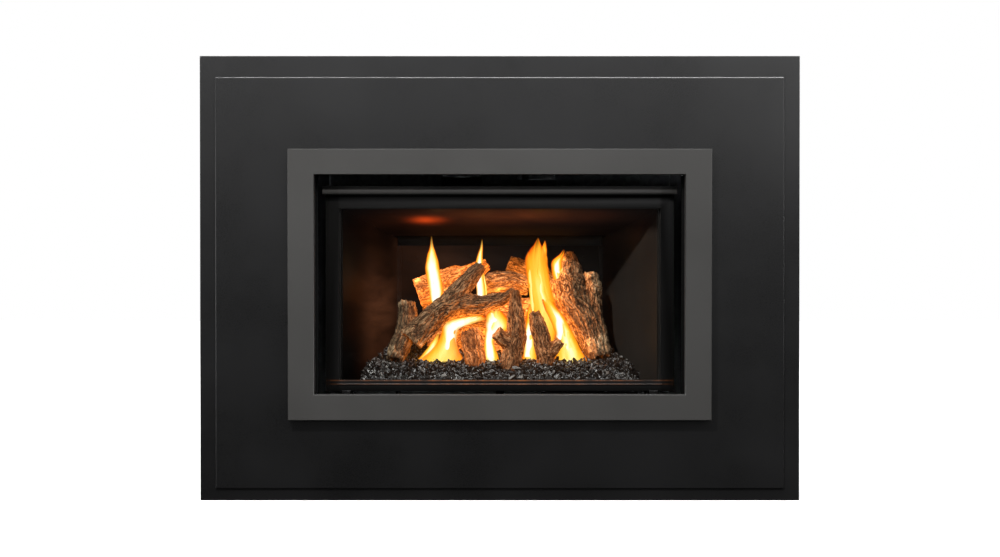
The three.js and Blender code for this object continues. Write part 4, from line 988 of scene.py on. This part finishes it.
collar_bits = Batch()
for cx, cy in ((-0.075, 0.030), (0.075, 0.130)):
    for i in range(8):
        a = math.pi * (i + 0.5) / 4
        rivet(collar_bits, (cx + 0.0475 * math.cos(a), cy + 0.0475 * math.sin(a), 0.6433), (0, 0, 1))
collar_bits.make("collar_rivets", "aluminium_sheet", smooth=True)

nuts = Batch()
for x in (-0.500, -0.300, 0.0, 0.300, 0.500):
    for z in (0.060, 0.770):
        nuts.disc((x, -0.1686, z), (0, 1, 0), [(0.0085, 0.0), (0.0085, 0.0012), (0.0050, 0.0013), (0.0, 0.0013)], 24)
        nuts.disc((x, -0.1674, z), (0, 1, 0), [(0.0052, 0.0), (0.0052, 0.0036), (0.0046, 0.0042), (0.0, 0.0042)], 6, 0.2)
for x in (-0.500, 0.500):
    for z in (0.250, 0.415, 0.580):
        nuts.disc((x, -0.1686, z), (0, 1, 0), [(0.0085, 0.0), (0.0085, 0.0012), (0.0050, 0.0013), (0.0, 0.0013)], 24)
        nuts.disc((x, -0.1674, z), (0, 1, 0), [(0.0052, 0.0), (0.0052, 0.0036), (0.0046, 0.0042), (0.0, 0.0042)], 6, 0.2)
nuts.make("plate_nuts", "brass_fitting").data.materials[0] = MAT["zinc_screw"]

bracket_screws = Batch()
for side in (-1, 1):
    for z in (0.260, 0.340, 0.460, 0.540):
        pan_screw(bracket_screws, (side * 0.3578, -0.135, z), (side, 0, 0))
    for z in (0.270, 0.400, 0.530):
        pan_screw(bracket_screws, (side * 0.430, -0.1669, z), (0, 1, 0))
bracket_screws.make("bracket_screws", "brass_fitting", smooth=True).data.materials[0] = MAT["zinc_screw"]

# black strips close the slit between the case and the opening of the panel: dark sheets standing in for the shade in
# the slit
strips = Batch()
for side in (-1, 1):
    for z0, z1 in ((0.150, 0.2295), (0.5705, 0.656)):
        strips.box(*sorted((side * 0.3565, side * 0.400)), -0.1652, -0.1642, z0, z1)
strips.make("slit_shade_strips", "black_satin_paint")

# corner beads of the firebox liners
beads = Batch()
for side in (-1, 1):
    beads.box(*sorted((side * 0.1990, side * 0.2084)), 0.0796, 0.0829, 0.2140, 0.4780)
beads.make("liner_corner_beads", "liner_enamel")

liner_screws = Batch()
for x in (-0.170, 0.170):
    for z in (0.300, 0.455):
        pan_screw(liner_screws, (x, 0.0832, z), (0, -1, 0), 0.0030)
for x in (-0.060, 0.060):
    pan_screw(liner_screws, (x, 0.0832, 0.455), (0, -1, 0), 0.0030)
liner_screws.make("liner_screws", "liner_enamel", smooth=True)

# ------------------------------------------------------------------ floor, light, camera
me = mesh_from([(-9, -7, 0), (9, -7, 0), (9, 9, 0), (-9, 9, 0)], [(0, 1, 2, 3)], "floor")
floor = bpy.data.objects.new("floor", me)
bpy.context.scene.collection.objects.link(floor)
g = Graph("floor_pale")
dif = g.node("BsdfDiffuse", {"Color": (0.80, 0.80, 0.80, 1)})
# painted shade: the floor's glow is weaker in a wide patch around the fireplace, so that the cast shadows show there
em = g.node("Emission", {"Color": (1, 1, 1, 1), "Strength": g.math("SUBTRACT", 0.85, g.math("MULTIPLY", g.blob((0.0, 0.25, 0.0), (0.95, 0.75, 1.0)), 0.55))})
ad = g.node("AddShader")
g.t.links.new(dif.outputs[0], ad.inputs[0])
g.t.links.new(em.outputs[0], ad.inputs[1])
g.t.links.new(ad.outputs[0], g.out.inputs["Surface"])
me.materials.append(g.m)
floor.visible_glossy = False
floor.visible_diffuse = False

scene = bpy.context.scene
world = bpy.data.worlds.new("studio")
scene.world = world
world.use_nodes = True
nt = world.node_tree
nt.nodes.clear()
wo = nt.nodes.new("ShaderNodeOutputWorld")
tc = nt.nodes.new("ShaderNodeTexCoord")
sep = nt.nodes.new("ShaderNodeSeparateXYZ")
nt.links.new(tc.outputs["Generated"], sep.inputs[0])
mr = nt.nodes.new("ShaderNodeMapRange")
mr.inputs["From Min"].default_value, mr.inputs["From Max"].default_value = -1, 1
nt.links.new(sep.outputs["Z"], mr.inputs["Value"])
cr = nt.nodes.new("ShaderNodeValToRGB")
r = cr.color_ramp
r.elements[0].position, r.elements[0].color = 0.0, (0.05, 0.05, 0.05, 1)
r.elements[1].position, r.elements[1].color = 1.0, (0.80, 0.80, 0.82, 1)
for p, v in ((0.44, 0.01), (0.512, 0.02), (0.549, 0.85), (0.59, 1.60), (0.68, 1.20), (0.80, 0.80)):
    e = r.elements.new(p)
    e.color = (v, v, v * 1.01, 1)
nt.links.new(mr.outputs[0], cr.inputs["Fac"])
bg1 = nt.nodes.new("ShaderNodeBackground")
nt.links.new(cr.outputs["Color"], bg1.inputs["Color"])
soft = nt.nodes.new("ShaderNodeMapRange")
soft.inputs["To Min"].default_value, soft.inputs["To Max"].default_value = 0.8, 0.40
nt.links.new(soft.outputs[0], bg1.inputs["Strength"])
bg2 = nt.nodes.new("ShaderNodeBackground")
bg2.inputs["Color"].default_value = (1, 1, 1, 1)
bg2.inputs["Strength"].default_value = 1.0
lp = nt.nodes.new("ShaderNodeLightPath")
nt.links.new(lp.outputs["Is Diffuse Ray"], soft.inputs["Value"])
mx = nt.nodes.new("ShaderNodeMixShader")
nt.links.new(lp.outputs["Is Camera Ray"], mx.inputs[0])
nt.links.new(bg1.outputs[0], mx.inputs[1])
nt.links.new(bg2.outputs[0], mx.inputs[2])
nt.links.new(mx.outputs[0], wo.inputs["Surface"])


def area(name, loc, aim, size, power, color=(1, 1, 1)):
    d = bpy.data.lights.new(name, "AREA")
    d.shape, d.size, d.size_y = "RECTANGLE", size[0], size[1]
    d.energy, d.color = power, color
    o = bpy.data.objects.new(name, d)
    scene.collection.objects.link(o)
    o.location = loc
    o.rotation_euler = (Vector(aim) - Vector(loc)).to_track_quat("-Z", "Y").to_euler()
    return o


def glow(name, px, py, s, power, color, radius=0.012):
    d = bpy.data.lights.new(name, "POINT")
    d.energy, d.color, d.shadow_soft_size = power, color, radius
    o = bpy.data.objects.new(name, d)
    scene.collection.objects.link(o)
    o.location = front(px, py, s)
    o.visible_glossy = False
    return o


key = area("key", (-1.00, -2.74, 2.46), (0.25, -0.05, 0.42), (0.10, 0.10), 185, (1.0, 0.985, 0.96))
key.visible_glossy = False
area("back", (1.6, 3.2, 2.0), (0.0, 0.1, 0.35), (2.8, 2.2), 60)
area("back_l", (-2.8, 2.0, 1.2), (0.0, 0.1, 0.35), (1.6, 1.8), 34)
area("back_r", (2.9, 0.9, 0.9), (0.2, 0.0, 0.35), (1.2, 1.6), 13)
area("top", (0.3, -0.9, 2.2), (0.0, -0.16, 0.75), (2.0, 0.5), 28)
area("side_l", (-2.6, -1.4, 0.4), (0, -0.1, 0.2), (0.6, 0.8), 9)
area("side_r", (2.6, -1.4, 1.3), (0, -0.1, 0.5), (0.6, 1.2), 3)

for nm, loc, aim, size, power in [
    ("strip_top", (0.0, -0.50, 2.3), (0.0, -0.17, 0.79), (3.8, 0.15), 115),
    ("strip_right", (3.0, -1.1, 0.9), (0.5, -0.17, 0.42), (0.15, 1.6), 11),
    ("strip_left", (-3.0, -1.1, 0.6), (-0.5, -0.17, 0.42), (0.15, 1.6), 7),
]:
    area(nm, loc, aim, size, power).visible_diffuse = False

# small bright lamps that only glint on glossy surfaces
for nm, loc, power in [("glint_l", (-1.3, -2.4, 1.9), 11), ("glint_c", (0.3, -2.6, 2.4), 30), ("glint_r", (1.5, -2.2, 1.5), 13)]:
    area(nm, loc, (0.0, -0.08, 0.26), (0.80, 0.80), power).visible_diffuse = False

WARM = (1.0, 0.34, 0.07)
HOT = (1.0, 0.40, 0.10)
for nm, px, py, s, p in [
    ("g1", 436, 288, 138, 1.3), ("g1b", 434, 262, 140, 0.35), ("g2", 480, 288, 154, 0.9), ("g2b", 480, 262, 156, 0.2),
    ("g3", 537, 275, 135, 0.7), ("g3b", 536, 305, 125, 1.2), ("g4", 558, 268, 128, 0.35), ("g5", 450, 342, 104, 0.8),
    ("g6", 492, 325, 98, 0.55), ("g7", 566, 345, 104, 0.7), ("g8", 529, 340, 112, 0.8), ("g9", 498, 296, 158, 0.6),
    ("g10", 462, 300, 140, 0.7),
]:
    glow(nm, px, py, s, 0.20 * p, HOT if p > 0.3 else WARM)

cam_data = bpy.data.cameras.new("camera")
cam_data.sensor_width = 36.0
cam_data.lens = 57.93
cam = bpy.data.objects.new("camera", cam_data)
scene.collection.objects.link(cam)
cam.location = (0.0004, -SHIFT - 3.0, 0.4445)
cam.rotation_euler = (math.radians(90 - 0.573), 0, 0)
scene.camera = cam
scene.view_settings.view_transform = "Standard"
scene.view_settings.look = "None"
scene.cycles.transparent_max_bounces = 24
scene.cycles.max_bounces = 8
scene.cycles.sample_clamp_indirect = 4.0
